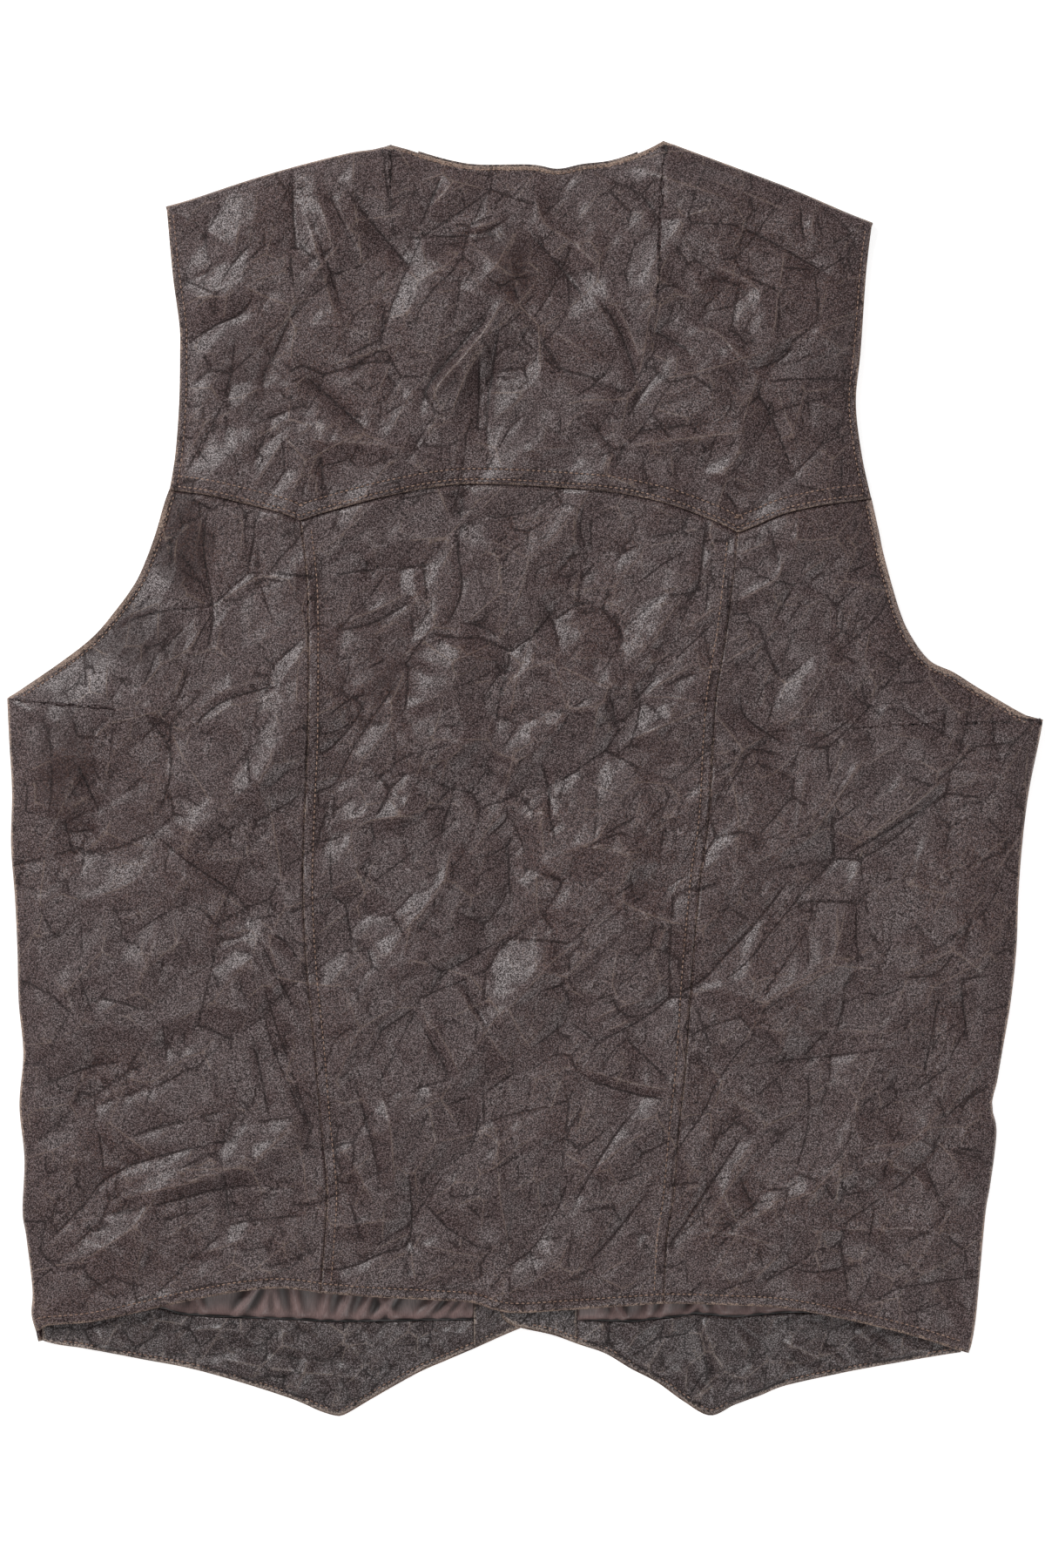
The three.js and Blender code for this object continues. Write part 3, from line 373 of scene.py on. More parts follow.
# %% Creases of the lower back
LOWER_LEFT_CREASES = [
    furrow(1.3, 2.2, (-137, -80), (-125, -85), (-117, -97)),
    furrow(1.4, 2.2, (-138, -85), (-128, -106), (-115, -130)),
    furrow(1.3, 2.2, (-140, -95), (-133, -120), (-118, -165), (-108, -195)),
    furrow(1.2, 2.2, (-137, -115), (-132, -140), (-110, -190)),
    furrow(1.1, 2.2, (-143, -130), (-137, -160), (-132, -185)),
    furrow(0.9, 2.2, (-150, -100), (-148, -110), (-145, -120)),
    furrow(0.9, 2.2, (-165, -85), (-154, -84), (-142, -80)),
    furrow(0.9, 2.6, (-190, -125), (-188, -140), (-187, -155)),
    furrow(0.9, 2.6, (-178, -130), (-178, -138), (-177, -145)),
    furrow(0.9, 2.6, (-165, -145), (-162, -156), (-160, -168)),
    furrow(1.3, 2.6, (-255, -162), (-225, -150), (-205, -148)),
    furrow(1.0, 2.4, (-230, -172), (-213, -167), (-195, -160)),
    furrow(1.8, 3.6, (-255, -248), (-230, -222), (-220, -210), (-200, -200), (-160, -190), (-145, -190)),
    furrow(1.2, 2.6, (-225, -200), (-200, -185), (-150, -172)),
    ridge(1.2, 2.4, (-190, -215), (-166, -207), (-140, -200)),
    furrow(1.3, 2.6, (-225, -230), (-190, -222), (-150, -213), (-110, -215)),
    ridge(1.1, 2.4, (-220, -222), (-188, -214), (-150, -206)),
    furrow(1.0, 2.4, (-160, -234), (-135, -230), (-110, -228)),
    ridge(1.1, 2.4, (-180, -250), (-162, -246), (-145, -240)),
    ridge(1.0, 2.0, (-140, -242), (-130, -240), (-125, -248), (-132, -255)),
    furrow(1.7, 2.4, (-118, -256), (-95, -256), (-75, -248), (-60, -240), (-61, -200)),
    ridge(1.1, 2.4, (-100, -236), (-82, -232), (-65, -230)),
    ridge(1.2, 2.2, (-75, -165), (-70, -185), (-68, -215)),
    furrow(1.2, 2.2, (-90, -155), (-80, -190), (-75, -215)),
    ridge(1.1, 2.2, (-97, -190), (-86, -208), (-78, -225)),
    ridge(1.1, 1.8, (-52, -122), (-41, -140), (-33, -158)),
    furrow(1.2, 2.0, (-57, -124), (-46, -143), (-38, -160)),
    furrow(1.2, 2.0, (-48, -117), (-43, -103), (-22, -90), (-5, -80)),
    furrow(1.1, 2.0, (-34, -106), (-24, -123), (-15, -140)),
    ridge(1.1, 2.0, (-37, -107), (-22, -130), (-5, -155)),
    ridge(1.1, 2.0, (-20, -170), (-15, -185), (-13, -220), (-8, -248), (-14, -258)),
    furrow(1.3, 3.8, (-58, -215), (-40, -235), (-18, -248)),
    ridge(1.0, 2.0, (-55, -243), (-38, -247), (-20, -250)),
    furrow(1.0, 2.0, (-60, -75), (-50, -80), (-40, -85)),
    furrow(0.9, 2.0, (-35, -70), (-27, -74), (-20, -78)),
]
LOWER_RIGHT_CREASES = [
    furrow(1.8, 3.0, (60, -122), (90, -107), (105, -92), (125, -70), (140, -50)),
    ridge(1.1, 2.0, (32, -128), (48, -120), (65, -115)),
    ridge(1.1, 2.0, (40, -133), (51, -128), (62, -122)),
    furrow(1.3, 2.4, (50, -133), (62, -145), (80, -162)),
    furrow(1.0, 2.0, (85, -143), (95, -150), (105, -158)),
    ridge(1.2, 2.0, (28, -151), (60, -160), (82, -163)),
    furrow(1.2, 2.0, (28, -156), (58, -165), (80, -168)),
    furrow(1.3, 2.4, (62, -168), (50, -182), (38, -200), (22, -228)),
    furrow(1.3, 2.4, (65, -215), (45, -240), (30, -255)),
    furrow(1.1, 2.2, (110, -122), (117, -130), (123, -138)),
    ridge(0.8, 1.4, (120, -129), (160, -131), (190, -132), (210, -125)),
    ridge(1.2, 2.6, (115, -125), (150, -105), (190, -85)),
    furrow(2.4, 2.8, (114, -185), (100, -207), (83, -233), (73, -248)),
    ridge(1.2, 2.4, (121, -190), (108, -211), (90, -237)),
    ridge(1.1, 1.6, (90, -238), (110, -238), (138, -246)),
    furrow(1.2, 2.2, (95, -234), (107, -232), (120, -230)),
    furrow(1.2, 2.0, (108, -200), (120, -225), (128, -235)),
    ridge(0.9, 1.4, (130, -234), (155, -236), (200, -235), (230, -238)),
    ridge(1.5, 2.2, (134, -247), (126, -255), (118, -262)),
    furrow(1.2, 2.0, (138, -252), (150, -258), (185, -252)),
    ridge(1.0, 1.8, (175, -200), (200, -205), (215, -220)),
    furrow(1.1, 2.2, (208, -200), (214, -214), (220, -228)),
    furrow(1.6, 2.6, (228, -105), (229, -120), (232, -140)),
    furrow(1.2, 4.0, (110, -150), (150, -146), (200, -140)),
    ridge(1.0, 1.8, (207, -187), (195, -192), (182, -190)),
    ridge(1.0, 1.8, (207, -187), (214, -176), (226, -170)),
    furrow(1.1, 2.0, (100, -190), (110, -180), (120, -187)),
    furrow(1.1, 2.0, (7, -68), (11, -74), (15, -80)),
]
BACK_CREASES = (
    YOKE_CREASES + UPPER_LEFT_CREASES + UPPER_RIGHT_CREASES + LOWER_LEFT_CREASES + LOWER_RIGHT_CREASES
)
print(len(BACK_CREASES), "creases placed by hand on the back")

# %% [markdown]
# ## Small crumple
# Between the placed creases the leather is full of short ones, closest together in the middle
# of the back. They are strewn by a seeded random hand, so each run makes the same vest.

# %% Strewn creases
Patch = namedtuple("Patch", "x1 y1 x2 y2 count length height")
FLOW_SIZE = 75
TURN_SPREAD = 0.55
BEND = 0.2
LENGTHS = (0.5, 1.6)
HEIGHTS = (0.4, 1.3)
WIDTHS = (0.9, 1.9)
CRUMPLED = [
    Patch(-100, -120, 85, 120, 170, 20, 0.5),
    Patch(-170, 150, 165, 310, 80, 24, 0.42),
    Patch(95, -60, 250, 110, 90, 24, 0.45),
    Patch(-250, -60, -120, 120, 40, 26, 0.35),
    Patch(-245, -270, -120, -70, 80, 26, 0.4),
    Patch(-100, -262, 70, -120, 80, 26, 0.42),
    Patch(90, -270, 232, -70, 90, 26, 0.42),
]


def strewn(patches, seed):
    pick = random.Random(seed)
    creases = []
    for patch in patches:
        for _ in range(patch.count):
            x = pick.uniform(patch.x1, patch.x2)
            y = pick.uniform(patch.y1, patch.y2)
            flow = noise.noise(Vector((x / FLOW_SIZE, y / FLOW_SIZE, seed))) * math.tau
            turn = flow + pick.gauss(0, TURN_SPREAD)
            length = patch.length * pick.uniform(*LENGTHS)
            bend = length * pick.uniform(-BEND, BEND)
            way = np.array([math.cos(turn), math.sin(turn)]) * length / 2
            side = np.array([-way[1], way[0]]) * 2 / length
            middle = np.array([x, y])
            path = curve(middle - way, middle + side * bend, middle + way, steps=3)
            height = patch.height * pick.uniform(*HEIGHTS) * pick.choice((1, -1))
            creases.append(Crease(height, pick.uniform(*WIDTHS), path))
    return creases


SMALL_CREASES = strewn(CRUMPLED, seed=4)
print(len(SMALL_CREASES), "small creases")


# %% Height that creases add
ROUNDING = 0.5
REACH = 6.5
FOLD_PART = 0.75
FACET_PART = 0.95
CREASE_STRENGTH = 1.05
YOKE_HANGS = 0.5
LINE_REACH = 5.0
LINE_FADE = 2.2
END_SHARE = 0.02
SWELL = 0.6
FACET_CURVE = 1.5


def beside(points, path):
    """The distance of each point from a path, the share of the path there, and the side."""
    best = np.full(len(points), np.inf)
    share = np.zeros(len(points))
    side = np.ones(len(points))
    steps = np.linalg.norm(np.diff(path, axis=0), axis=1)
    start = np.concatenate([[0], np.cumsum(steps)])
    for k, step in enumerate(steps):
        way = path[k + 1] - path[k]
        t = np.clip((points - path[k]) @ way / (step * step), 0, 1)
        gap = np.linalg.norm(points - path[k] - t[:, None] * way, axis=1)
        nearer = gap < best
        best[nearer] = gap[nearer]
        share[nearer] = (start[k] + t[nearer] * step) / start[-1]
        off = points[nearer] - path[k]
        side[nearer] = np.where(way[0] * off[:, 1] - way[1] * off[:, 0] > 0, 1.0, -1.0)
    return best, share, side


def path_distance(points, path):
    return beside(points, path)[0]


def close_to(points, crease, reach):
    """Which points lie within reach of a crease, and how they lie to it."""
    low = crease.path.min(axis=0) - reach
    high = crease.path.max(axis=0) + reach
    near = np.flatnonzero(((points > low) & (points < high)).all(axis=1))
    return (near, *beside(points[near], crease.path))


def fading(share):
    """A crease is deepest in its middle and runs out at both ends."""
    return np.sin(np.pi * np.clip(share, END_SHARE, 1 - END_SHARE)) ** SWELL


def crease_height(points, creases):
    """The height in millimetres that the creases add at each point."""
    added = np.zeros(len(points))
    for crease in creases:
        near, gap, share, _ = close_to(points, crease, crease.width * REACH)
        soft = np.hypot(gap, ROUNDING) - ROUNDING
        fold = np.exp(-soft / crease.width)
        facet = np.maximum(0, 1 - soft / (crease.width * REACH)) ** FACET_CURVE
        added[near] += crease.height * fading(share) * (FOLD_PART * fold + FACET_PART * facet)
    return added


def crease_lines(points, creases, sets):
    """The signed distance to the strongest line and its force: painted highlight above 0, painted shade
    below.
    """
    _, line, strength = crumpled(points, sets)
    for crease in creases:
        near, gap, share, side = close_to(points, crease, LINE_REACH)
        inside = (share > 0) & (share < 1)
        force = crease.height * fading(share) * inside * np.exp(-((gap / LINE_FADE) ** 2))
        stronger = np.abs(force) > np.abs(strength[near])
        chosen = near[stronger]
        line[chosen] = (gap * side)[stronger]
        strength[chosen] = force[stronger]
    return line, strength


# %% [markdown]
# ## How high the vest lies
# Leather turns over at the sides and shoulders in a fold of its own radius, and the two layers
# lie on each other with air between. So the back rises from each edge to a plateau.

# %% Height of the back
FOLD_RADIUS = 3.4
PLATEAU = 13.2
HEM_HEIGHT = 12.2
NECK_HEIGHT = 5.2
ARMHOLE_HEIGHT = 4.6
FOLD_HEIGHT = 2 * FOLD_RADIUS
RELIEF_INSET = 6.0
Edge = namedtuple("Edge", "line height rise")


def near_start(t, length):
    return 1 - smoothstep(0, length, t) if length else 0 * t


def held(height, start=0, end=0):
    """An edge at this height, which rises to the fold over these shares of its two ends."""
    return lambda t: height + (FOLD_HEIGHT - height) * (near_start(t, start) + near_start(1 - t, end))


EDGES = [
    Edge(LEFT_SIDE, held(FOLD_HEIGHT), 20),
    Edge(LEFT_ARMHOLE_LOW, held(ARMHOLE_HEIGHT, start=0.14), 15),
    Edge(LEFT_ARMHOLE_HIGH, held(ARMHOLE_HEIGHT, end=0.1), 15),
    Edge(LEFT_SHOULDER, held(FOLD_HEIGHT), 14),
    Edge(NECK, held(NECK_HEIGHT, start=0.12, end=0.12), 16),
    Edge(RIGHT_SHOULDER, held(FOLD_HEIGHT), 14),
    Edge(RIGHT_ARMHOLE_HIGH, held(ARMHOLE_HEIGHT, end=0.1), 15),
    Edge(RIGHT_ARMHOLE_LOW, held(ARMHOLE_HEIGHT, start=0.14), 15),
    Edge(RIGHT_SIDE, held(FOLD_HEIGHT), 20),
    Edge(BACK_HEM_LEFT, held(HEM_HEIGHT, end=0.5), 24),
    Edge(BACK_HEM_MIDDLE, held(HEM_HEIGHT), 24),
    Edge(BACK_HEM_RIGHT, held(HEM_HEIGHT, end=0.5), 24),
]
EDGE_SHARES = np.linspace(0, 1, 41)
EDGE_POINTS = [at(edge.line, EDGE_SHARES) for edge in EDGES]
EDGE_HEIGHTS = [edge.height(EDGE_SHARES) for edge in EDGES]


def nearest_edge(points):
    """For each point the distance to the outline, the height there and the rise from it."""
    best = np.full(len(points), np.inf)
    height = np.zeros(len(points))
    rise = np.zeros(len(points))
    for edge, line, heights in zip(EDGES, EDGE_POINTS, EDGE_HEIGHTS):
        gap, share, _ = beside(points, line)
        nearer = gap < best
        best[nearer] = gap[nearer]
        height[nearer] = np.interp(share[nearer], EDGE_SHARES, heights)
        rise[nearer] = edge.rise
    return best, height, rise


# %% [markdown]
# ## Facets
# Crumpled leather is made of flat facets that meet in straight lines. Two sets of round caps,
# strewn over the plane and curved alike, give just that when one is taken from the other: their
# roundness cancels out, the first set's valleys stay as creases that the shader paints dark, as
# painted shade, and the second's, turned over, as ones it paints pale, as painted highlight.
# Four sizes lie over each other on the back and two on the facings, drawn out along the way in
# which the real creases run. The lines are finer than the mesh, so a point keeps its distance to
# the nearest one, and the leather's shader draws it.

# %% Caps and facets
def wander(points, size, seed):
    """Slow random ups and downs, between about -1 and 1, as far apart as size."""
    scale = 1 / size
    return np.array([noise.noise(Vector((x * scale, y * scale, seed))) for x, y in points])


CAPS_REACH = 520
TALLEST_CAP = 0.5
CELLS_AROUND = 2


def caps(points, size, seed):
    """The top of many round caps strewn over the plane, which meet in straight valleys.

    Also the signed distance to the nearest valley, and how far apart its two caps stand.
    """
    pick = np.random.default_rng(seed)
    cells = int(2 * CAPS_REACH / size) + 1
    spots = pick.uniform(0, 1, (cells, cells, 2))
    tops = pick.uniform(0, TALLEST_CAP, (cells, cells))
    cell = ((points + CAPS_REACH) // size).astype(int)
    best = second = np.full(len(points), -np.inf)
    best_spot = second_spot = np.zeros(points.shape)
    for step in np.ndindex(2 * CELLS_AROUND + 1, 2 * CELLS_AROUND + 1):
        near = cell + step - CELLS_AROUND
        column, row = near.T
        spot = (near + spots[column, row]) * size - CAPS_REACH
        level = tops[column, row] - ((points - spot) ** 2).sum(axis=1) / size**2
        first, next_one = level > best, level > second
        second = np.where(first, best, np.where(next_one, level, second))
        second_spot = np.where(first[:, None], best_spot, np.where(next_one[:, None], spot, second_spot))
        best = np.where(first, level, best)
        best_spot = np.where(first[:, None], spot, best_spot)
    apart = best_spot - second_spot
    width = np.linalg.norm(apart, axis=1)
    gap = (best - second) * size**2 / (2 * width) * np.sign(apart[:, 0])
    return best, gap, width / size


Facets = namedtuple("Facets", "size seed slope")
BACK_FACETS = [Facets(54, 11, 0.145), Facets(26, 21, 0.108), Facets(13, 31, 0.066), Facets(7, 61, 0.03)]
FACING_FACETS = [Facets(17, 41, 0.14), Facets(8, 51, 0.07)]
CREASES_RUN = math.radians(52)
ALONG, ACROSS = 0.76, 1.3
WARP_SIZE = 30
WARP = 3.0
WARP_SEEDS = (1.5, 7.5)
RUN_OUT = 20
LASTING = (-0.3, 0.25)
LINE_FORCE = 10


def crumpled(points, sets):
    """The facets' height at each point, the signed distance to a line and the line's force."""
    warped = points + WARP * np.stack([wander(points, WARP_SIZE, seed) for seed in WARP_SEEDS], axis=1)
    run = np.array([math.cos(CREASES_RUN), math.sin(CREASES_RUN)])
    warped = warped * ACROSS + (warped @ run)[:, None] * run * (ALONG - ACROSS)
    height = np.zeros(len(points))
    line = np.full(len(points), np.inf)
    strength = np.zeros(len(points))
    for size, seed, slope in sets:
        lasting = smoothstep(*LASTING, wander(points, RUN_OUT, seed))
        for sign in (1, -1):
            top, gap, fall = caps(warped, size, seed + (sign < 0))
            height += sign * slope * size * top
            force = -sign * LINE_FORCE * slope * fall * lasting * np.exp(-((gap / LINE_FADE) ** 2))
            stronger = np.abs(force) > np.abs(strength)
            line = np.where(stronger, gap, line)
            strength = np.where(stronger, force, strength)
    return height, np.where(np.isfinite(line), line, LINE_REACH), strength


# %% [markdown]
# ## The creased back
# The placed creases, the small ones and the facets are added to the plain form. The yoke hangs
# from the shoulders and has deeper creases, and the facets are steepest in the middle of the
# back. At the edge all of it fades out, where the leather is held by its stitches.

# %% Height of the back with its relief
YOKE_STARTS = (140, 170)
CRUMPLE_CENTRE = (-5, -10)
CRUMPLE_FROM, CRUMPLE_TO = 170, 60
FACETS_EVERYWHERE = 0.75
FACETS_IN_MIDDLE = 0.35


def back_height(points):
    """The outer face of the back without steps at seams, in millimetres."""
    gap, height, rise = nearest_edge(points)
    inset = np.maximum(0, gap - FOLD_RADIUS)
    body = PLATEAU + (height - PLATEAU) * np.exp(-inset / rise)
    relief = crease_height(points, BACK_CREASES) + crease_height(points, SMALL_CREASES)
    from_centre = np.linalg.norm(points - CRUMPLE_CENTRE, axis=1)
    middle = smoothstep(CRUMPLE_FROM, CRUMPLE_TO, from_centre)
    relief *= CREASE_STRENGTH + YOKE_HANGS * smoothstep(*YOKE_STARTS, points[:, 1])
    relief += crumpled(points, BACK_FACETS)[0] * (FACETS_EVERYWHERE + FACETS_IN_MIDDLE * middle)
    return body + relief * (1 - np.exp(-inset / RELIEF_INSET))


# %% [markdown]
# ## A piece from its four sides
# Each cut piece is a grid whose rows and columns follow its own four sides, as a Coons patch
# does. `bmesh.ops.create_grid` makes the faces, and the vertices are then carried to their
# places. Along a fold the last columns or rows roll over, as the leather does.

# %% Sides, folds and grids
STRIP = 3.0
START_TURN = math.radians(12)
SIDE_TURN = math.radians(100)
SHOULDER_TURN = math.radians(115)
ROLL_STEPS = 8
SMALL_SHARE = 1e-3
Fold = namedtuple("Fold", "turn outward")


def fold_at(line, fold, t):
    """The way out, the turn, its start, the flat strip and the inset of a fold at shares t."""
    way = line(np.minimum(1, t + SMALL_SHARE)) - line(np.maximum(0, t - SMALL_SHARE))
    way /= np.linalg.norm(way, axis=-1, keepdims=True)
    out = np.stack([way[..., 1], -way[..., 0]], axis=-1) * fold.outward
    full = fold.turn(t)
    start = np.minimum(START_TURN, full)
    strip = STRIP * np.maximum(0, 1 - full / SIDE_TURN)
    reach = FOLD_RADIUS * (np.sin(np.minimum(full, math.pi / 2)) - np.sin(start))
    return out, full, start, strip, -out * (reach + strip)[..., None]


def meeting(points, start, end, shares):
    """A side moved at its ends, so that it meets its neighbours."""
    here = shares[:, None]
    return points + (start - points[0]) * (1 - here) ** 3 + (end - points[-1]) * here**3


def bent(points, up, fold_facts, share):
    """Points rolled over a fold by their share of its turn."""
    out, full, start, strip = fold_facts
    angle = start + share * (full - start)
    reach = FOLD_RADIUS * (np.sin(angle) - np.sin(start)) + strip * share
    side = np.concatenate([out, np.zeros(out.shape[:-1] + (1,))], axis=-1)
    points = points + side * reach[..., None]
    points[..., 2] -= up * FOLD_RADIUS * (np.cos(start) - np.cos(angle))
    return points


def cut_piece(left, right, bottom, top, columns, rows, height, up=1, fold_right=None, fold_top=None):
    """Rows of points of a piece's outer face, in millimetres."""
    u = np.linspace(0, 1, columns + 1)
    v = np.linspace(0, 1, rows + 1)
    right_points, top_points = right(v), top(u)
    right_inset = top_inset = 0
    if fold_right:
        *right_facts, right_inset = fold_at(right, fold_right, v)
        right_points = right_points + right_inset
    if fold_top:
        *top_facts, top_inset = fold_at(top, fold_top, u)
        top_points = top_points + top_inset
    left_points = left(v)
    if fold_top:
        left_points = left_points + top_inset[0] * v[:, None] ** 3
        right_points = right_points + top_inset[-1] * v[:, None] ** 3
    bottom_points = meeting(bottom(u), left_points[0], right_points[0], u)
    top_points = meeting(top_points, left_points[-1], right_points[-1], u)
    U, V = u[None, :, None], v[:, None, None]
    corners = (
        (1 - U) * (1 - V) * left_points[0] + U * (1 - V) * right_points[0]
        + (1 - U) * V * left_points[-1] + U * V * right_points[-1]
    )
    flat = (
        (1 - U) * left_points[:, None] + U * right_points[:, None]
        + (1 - V) * bottom_points[None] + V * top_points[None] - corners
    )
    z = height(flat.reshape(-1, 2)).reshape(rows + 1, columns + 1)
    points = np.concatenate([flat, z[..., None]], axis=-1)
    share = np.arange(1, ROLL_STEPS + 1) / ROLL_STEPS
    if fold_right:
        rim = np.repeat(points[:, -1:], ROLL_STEPS, axis=1)
        facts = [np.repeat(fact[:, None], ROLL_STEPS, axis=1) for fact in right_facts]
        rolled = bent(rim, up, facts, np.broadcast_to(share, rim.shape[:2]))
        points = np.concatenate([points, rolled], axis=1)
    if fold_top:
        rim = np.repeat(points[-1:], ROLL_STEPS, axis=0)
        extra = points.shape[1] - (columns + 1)
        facts = [np.concatenate([fact, np.repeat(fact[-1:], extra, axis=0)]) for fact in top_facts]
        facts = [np.repeat(fact[None], ROLL_STEPS, axis=0) for fact in facts]
        rolled = bent(rim, up, facts, np.broadcast_to(share[:, None], rim.shape[:2]))
        points = np.concatenate([points, rolled], axis=0)
    return points


def smoothed(values, times):
    """Each number of a grid averaged with its neighbours, several times over."""
    for _ in range(times):
        padded = np.pad(values, 1, mode="edge")
        values = (
            padded[:-2, 1:-1] + padded[2:, 1:-1] + padded[1:-1, :-2] + padded[1:-1, 2:] + 2 * values
        ) / 6
    return values


def edge_gap(points, away=(0, 0, 0, 0), rolled=(0, 0)):
    """How far each point of a grid is from its rim, with this much more at each of its sides."""
    across = np.linalg.norm(np.diff(points, axis=1), axis=-1)
    upward = np.linalg.norm(np.diff(points, axis=0), axis=-1)
    from_left = np.pad(np.cumsum(across, axis=1), ((0, 0), (1, 0)))
    from_bottom = np.pad(np.cumsum(upward, axis=0), ((1, 0), (0, 0)))
    right, top = -1 - rolled[0], -1 - rolled[1]
    gaps = [
        from_left, np.maximum(0, from_left[:, [right]] - from_left),
        from_bottom, np.maximum(0, from_bottom[[top]] - from_bottom),
    ]
    return np.minimum.reduce([gap + more for gap, more in zip(gaps, away)])


# %% [markdown]
# ## Dull places
# The finish is dull and darker in a few places: below the left end of the yoke, round the left
# armhole and in a few spots of the back. Each zone is an oval with a ragged edge, and its share
# is written on the points for the shader.

# %% Where the finish is dull
MatteZone = namedtuple("MatteZone", "x y width length strength")
MATTE_EDGE = (0.5, 1.3)
RAGGED = 0.35
RAGGED_SIZE = 14
RAGGED_SEED = 3.5
MATTE_ZONES = [
    MatteZone(-183, 126, 18, 36, 1.0), MatteZone(-210, 76, 30, 26, 0.9), MatteZone(-147, 208, 22, 24, 0.5),
    MatteZone(-42, 211, 12, 18, 0.6), MatteZone(-8, 272, 13, 30, 0.6), MatteZone(-8, 200, 12, 34, 0.5),
    MatteZone(-242, 15, 18, 42, 0.6), MatteZone(-116, 100, 14, 22, 0.4), MatteZone(-72, 60, 20, 24, 0.4),
    MatteZone(60, 20, 22, 16, 0.35), MatteZone(165, 20, 18, 22, 0.4), MatteZone(-200, -20, 30, 24, 0.3),
]


def matte_share(points):
    """Where the finish is dull and darker: a share of 0 to 1."""
    ragged = RAGGED * wander(points, RAGGED_SIZE, RAGGED_SEED)
    share = np.zeros(len(points))
    for zone in MATTE_ZONES:
        away = np.hypot((points[:, 0] - zone.x) / zone.width, (points[:, 1] - zone.y) / zone.length)
        share = np.maximum(share, zone.strength * (1 - smoothstep(*MATTE_EDGE, away + ragged)))
    return share


# %% [markdown]
# ## A thin shell
# Each piece is one sheet of points with a live Solidify modifier, which gives the leather its
# thickness on the inner side. Wear and the marks for painted shade and highlight are written on
# the points: how far the rim is, how much the point stands out from its surroundings, the
# nearest crease line and the dull places.

# %% Shells and their declaration
CREST_SPREAD = 9
CALM_RIM = (3, 18)


def mesh_of(bm, name):
    """A mesh made from this bmesh, which is then freed."""
    mesh = bpy.data.meshes.new(name)
    bm.to_mesh(mesh)
    bm.free()
    return mesh


def placed(name, data):
    """A new object in the scene for this mesh, lamp or camera."""
    thing = bpy.data.objects.new(name, data)
    bpy.context.scene.collection.objects.link(thing)
    return thing


def shell(name, points, wall, material, up=1, worn=None, creases=(), sets=(), calm=False):
    """A closed thin shell from a grid of points, with its wear and its marks for painted shade and
    highlight.
    """
    rows, columns = points.shape[0] - 1, points.shape[1] - 1
    bm = bmesh.new()
    bmesh.ops.create_grid(bm, x_segments=columns, y_segments=rows, size=1)
    mesh = mesh_of(bm, name)
    place = np.empty(len(mesh.vertices) * 3)
    mesh.vertices.foreach_get("co", place)
    place = place.reshape(-1, 3)
    i = np.rint((place[:, 0] + 1) / 2 * columns).astype(int)
    j = np.rint((place[:, 1] + 1) / 2 * rows).astype(int)
    mesh.vertices.foreach_set("co", (points[j, i] * MM).ravel())
    plan = points[..., :2].reshape(-1, 2)
    crest = points[..., 2] - smoothed(points[..., 2], CREST_SPREAD)
    if calm:
        crest *= smoothstep(*CALM_RIM, nearest_edge(plan)[0]).reshape(crest.shape)
    line, strength = crease_lines(plan, creases, sets)
    marks = {
        "rim_mm": edge_gap(points) if worn is None else worn,
        "crest_mm": crest,
        "line_mm": line.reshape(crest.shape),
        "line_force": strength.reshape(crest.shape),
        "matte": matte_share(plan).reshape(crest.shape),
    }
    for label, values in marks.items():
        mark = mesh.attributes.new(label, "FLOAT", "POINT")
        mark.data.foreach_set("value", values[j, i].astype(np.float32).ravel())
    facing_up = np.cross(points[0, 1] - points[0, 0], points[1, 0] - points[0, 0])[2] > 0
    if facing_up != (up > 0):
        mesh.flip_normals()
    mesh.polygons.foreach_set("use_smooth", np.ones(len(mesh.polygons), bool))
    mesh.update()
    piece = placed(name, mesh)
    piece.data.materials.append(material)
    solid = piece.modifiers.new("wall", "SOLIDIFY")
    solid.thickness = wall * MM
    solid.offset = -1
    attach(piece, "root")
    return piece


def area_of(points):
    """The area of a grid of points, in square metres."""
    one = np.cross(points[1:, 1:] - points[:-1, :-1], points[1:, :-1] - points[:-1, 1:])
    return float(np.linalg.norm(one, axis=-1).sum() / 2) * MM * MM


def declare(piece, points):
    """Prints how big a shell was cut: its width and length, and its area."""
    plan = points[..., :2].reshape(-1, 2)
    width, length = (plan.max(axis=0) - plan.min(axis=0)) * MM
    area = min(area_of(points), width * length)
    print(piece.name, "cut from", round(width, 3), "x", round(length, 3), "m,", round(area, 4), "m2")


def dress(node, points, wall, material, slot, rests_on, **marks):
    """The shell that shows instead of the frame's solid, which is hidden, with its size printed."""
    piece = shell(node + "_shell", points, wall, material, **marks)
    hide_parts(node)
    declare(piece, points)


# %% [markdown]
# ## Worn leather
# The leather is dark brown and satiny, with a fine pebbled grain, pores, and rust-brown specks
# where the finish has gone. Its edges are rubbed pale. On its folds the colour is painted: crests
# and ridge lines lighter, partly rubbed wear and partly painted highlight, hollows and crease
# lines darker, partly wear and partly painted shade, and the grain's tops carry a painted glint.
# The grain is one node group, used by the outside and the facings with their own colours and
# strength of grain. It gives a colour, a roughness, the gloss of the coat and a height, and the
# shader itself stays in each material.

# %% Helpers for node trees
def feed(tree, socket, value):
    """Links an output to a socket, or sets the socket to a plain value."""
    if isinstance(value, bpy.types.NodeSocket):
        tree.links.new(value, socket)
    else:
        socket.default_value = value


def node_with(tree, kind, inputs, **settings):
    """A new node with its settings, and its inputs fed by name or number."""
    node = tree.nodes.new(kind)
    for key, value in settings.items():
        setattr(node, key, value)
    for key, value in inputs.items():
        feed(tree, node.inputs[key], value)
    return node


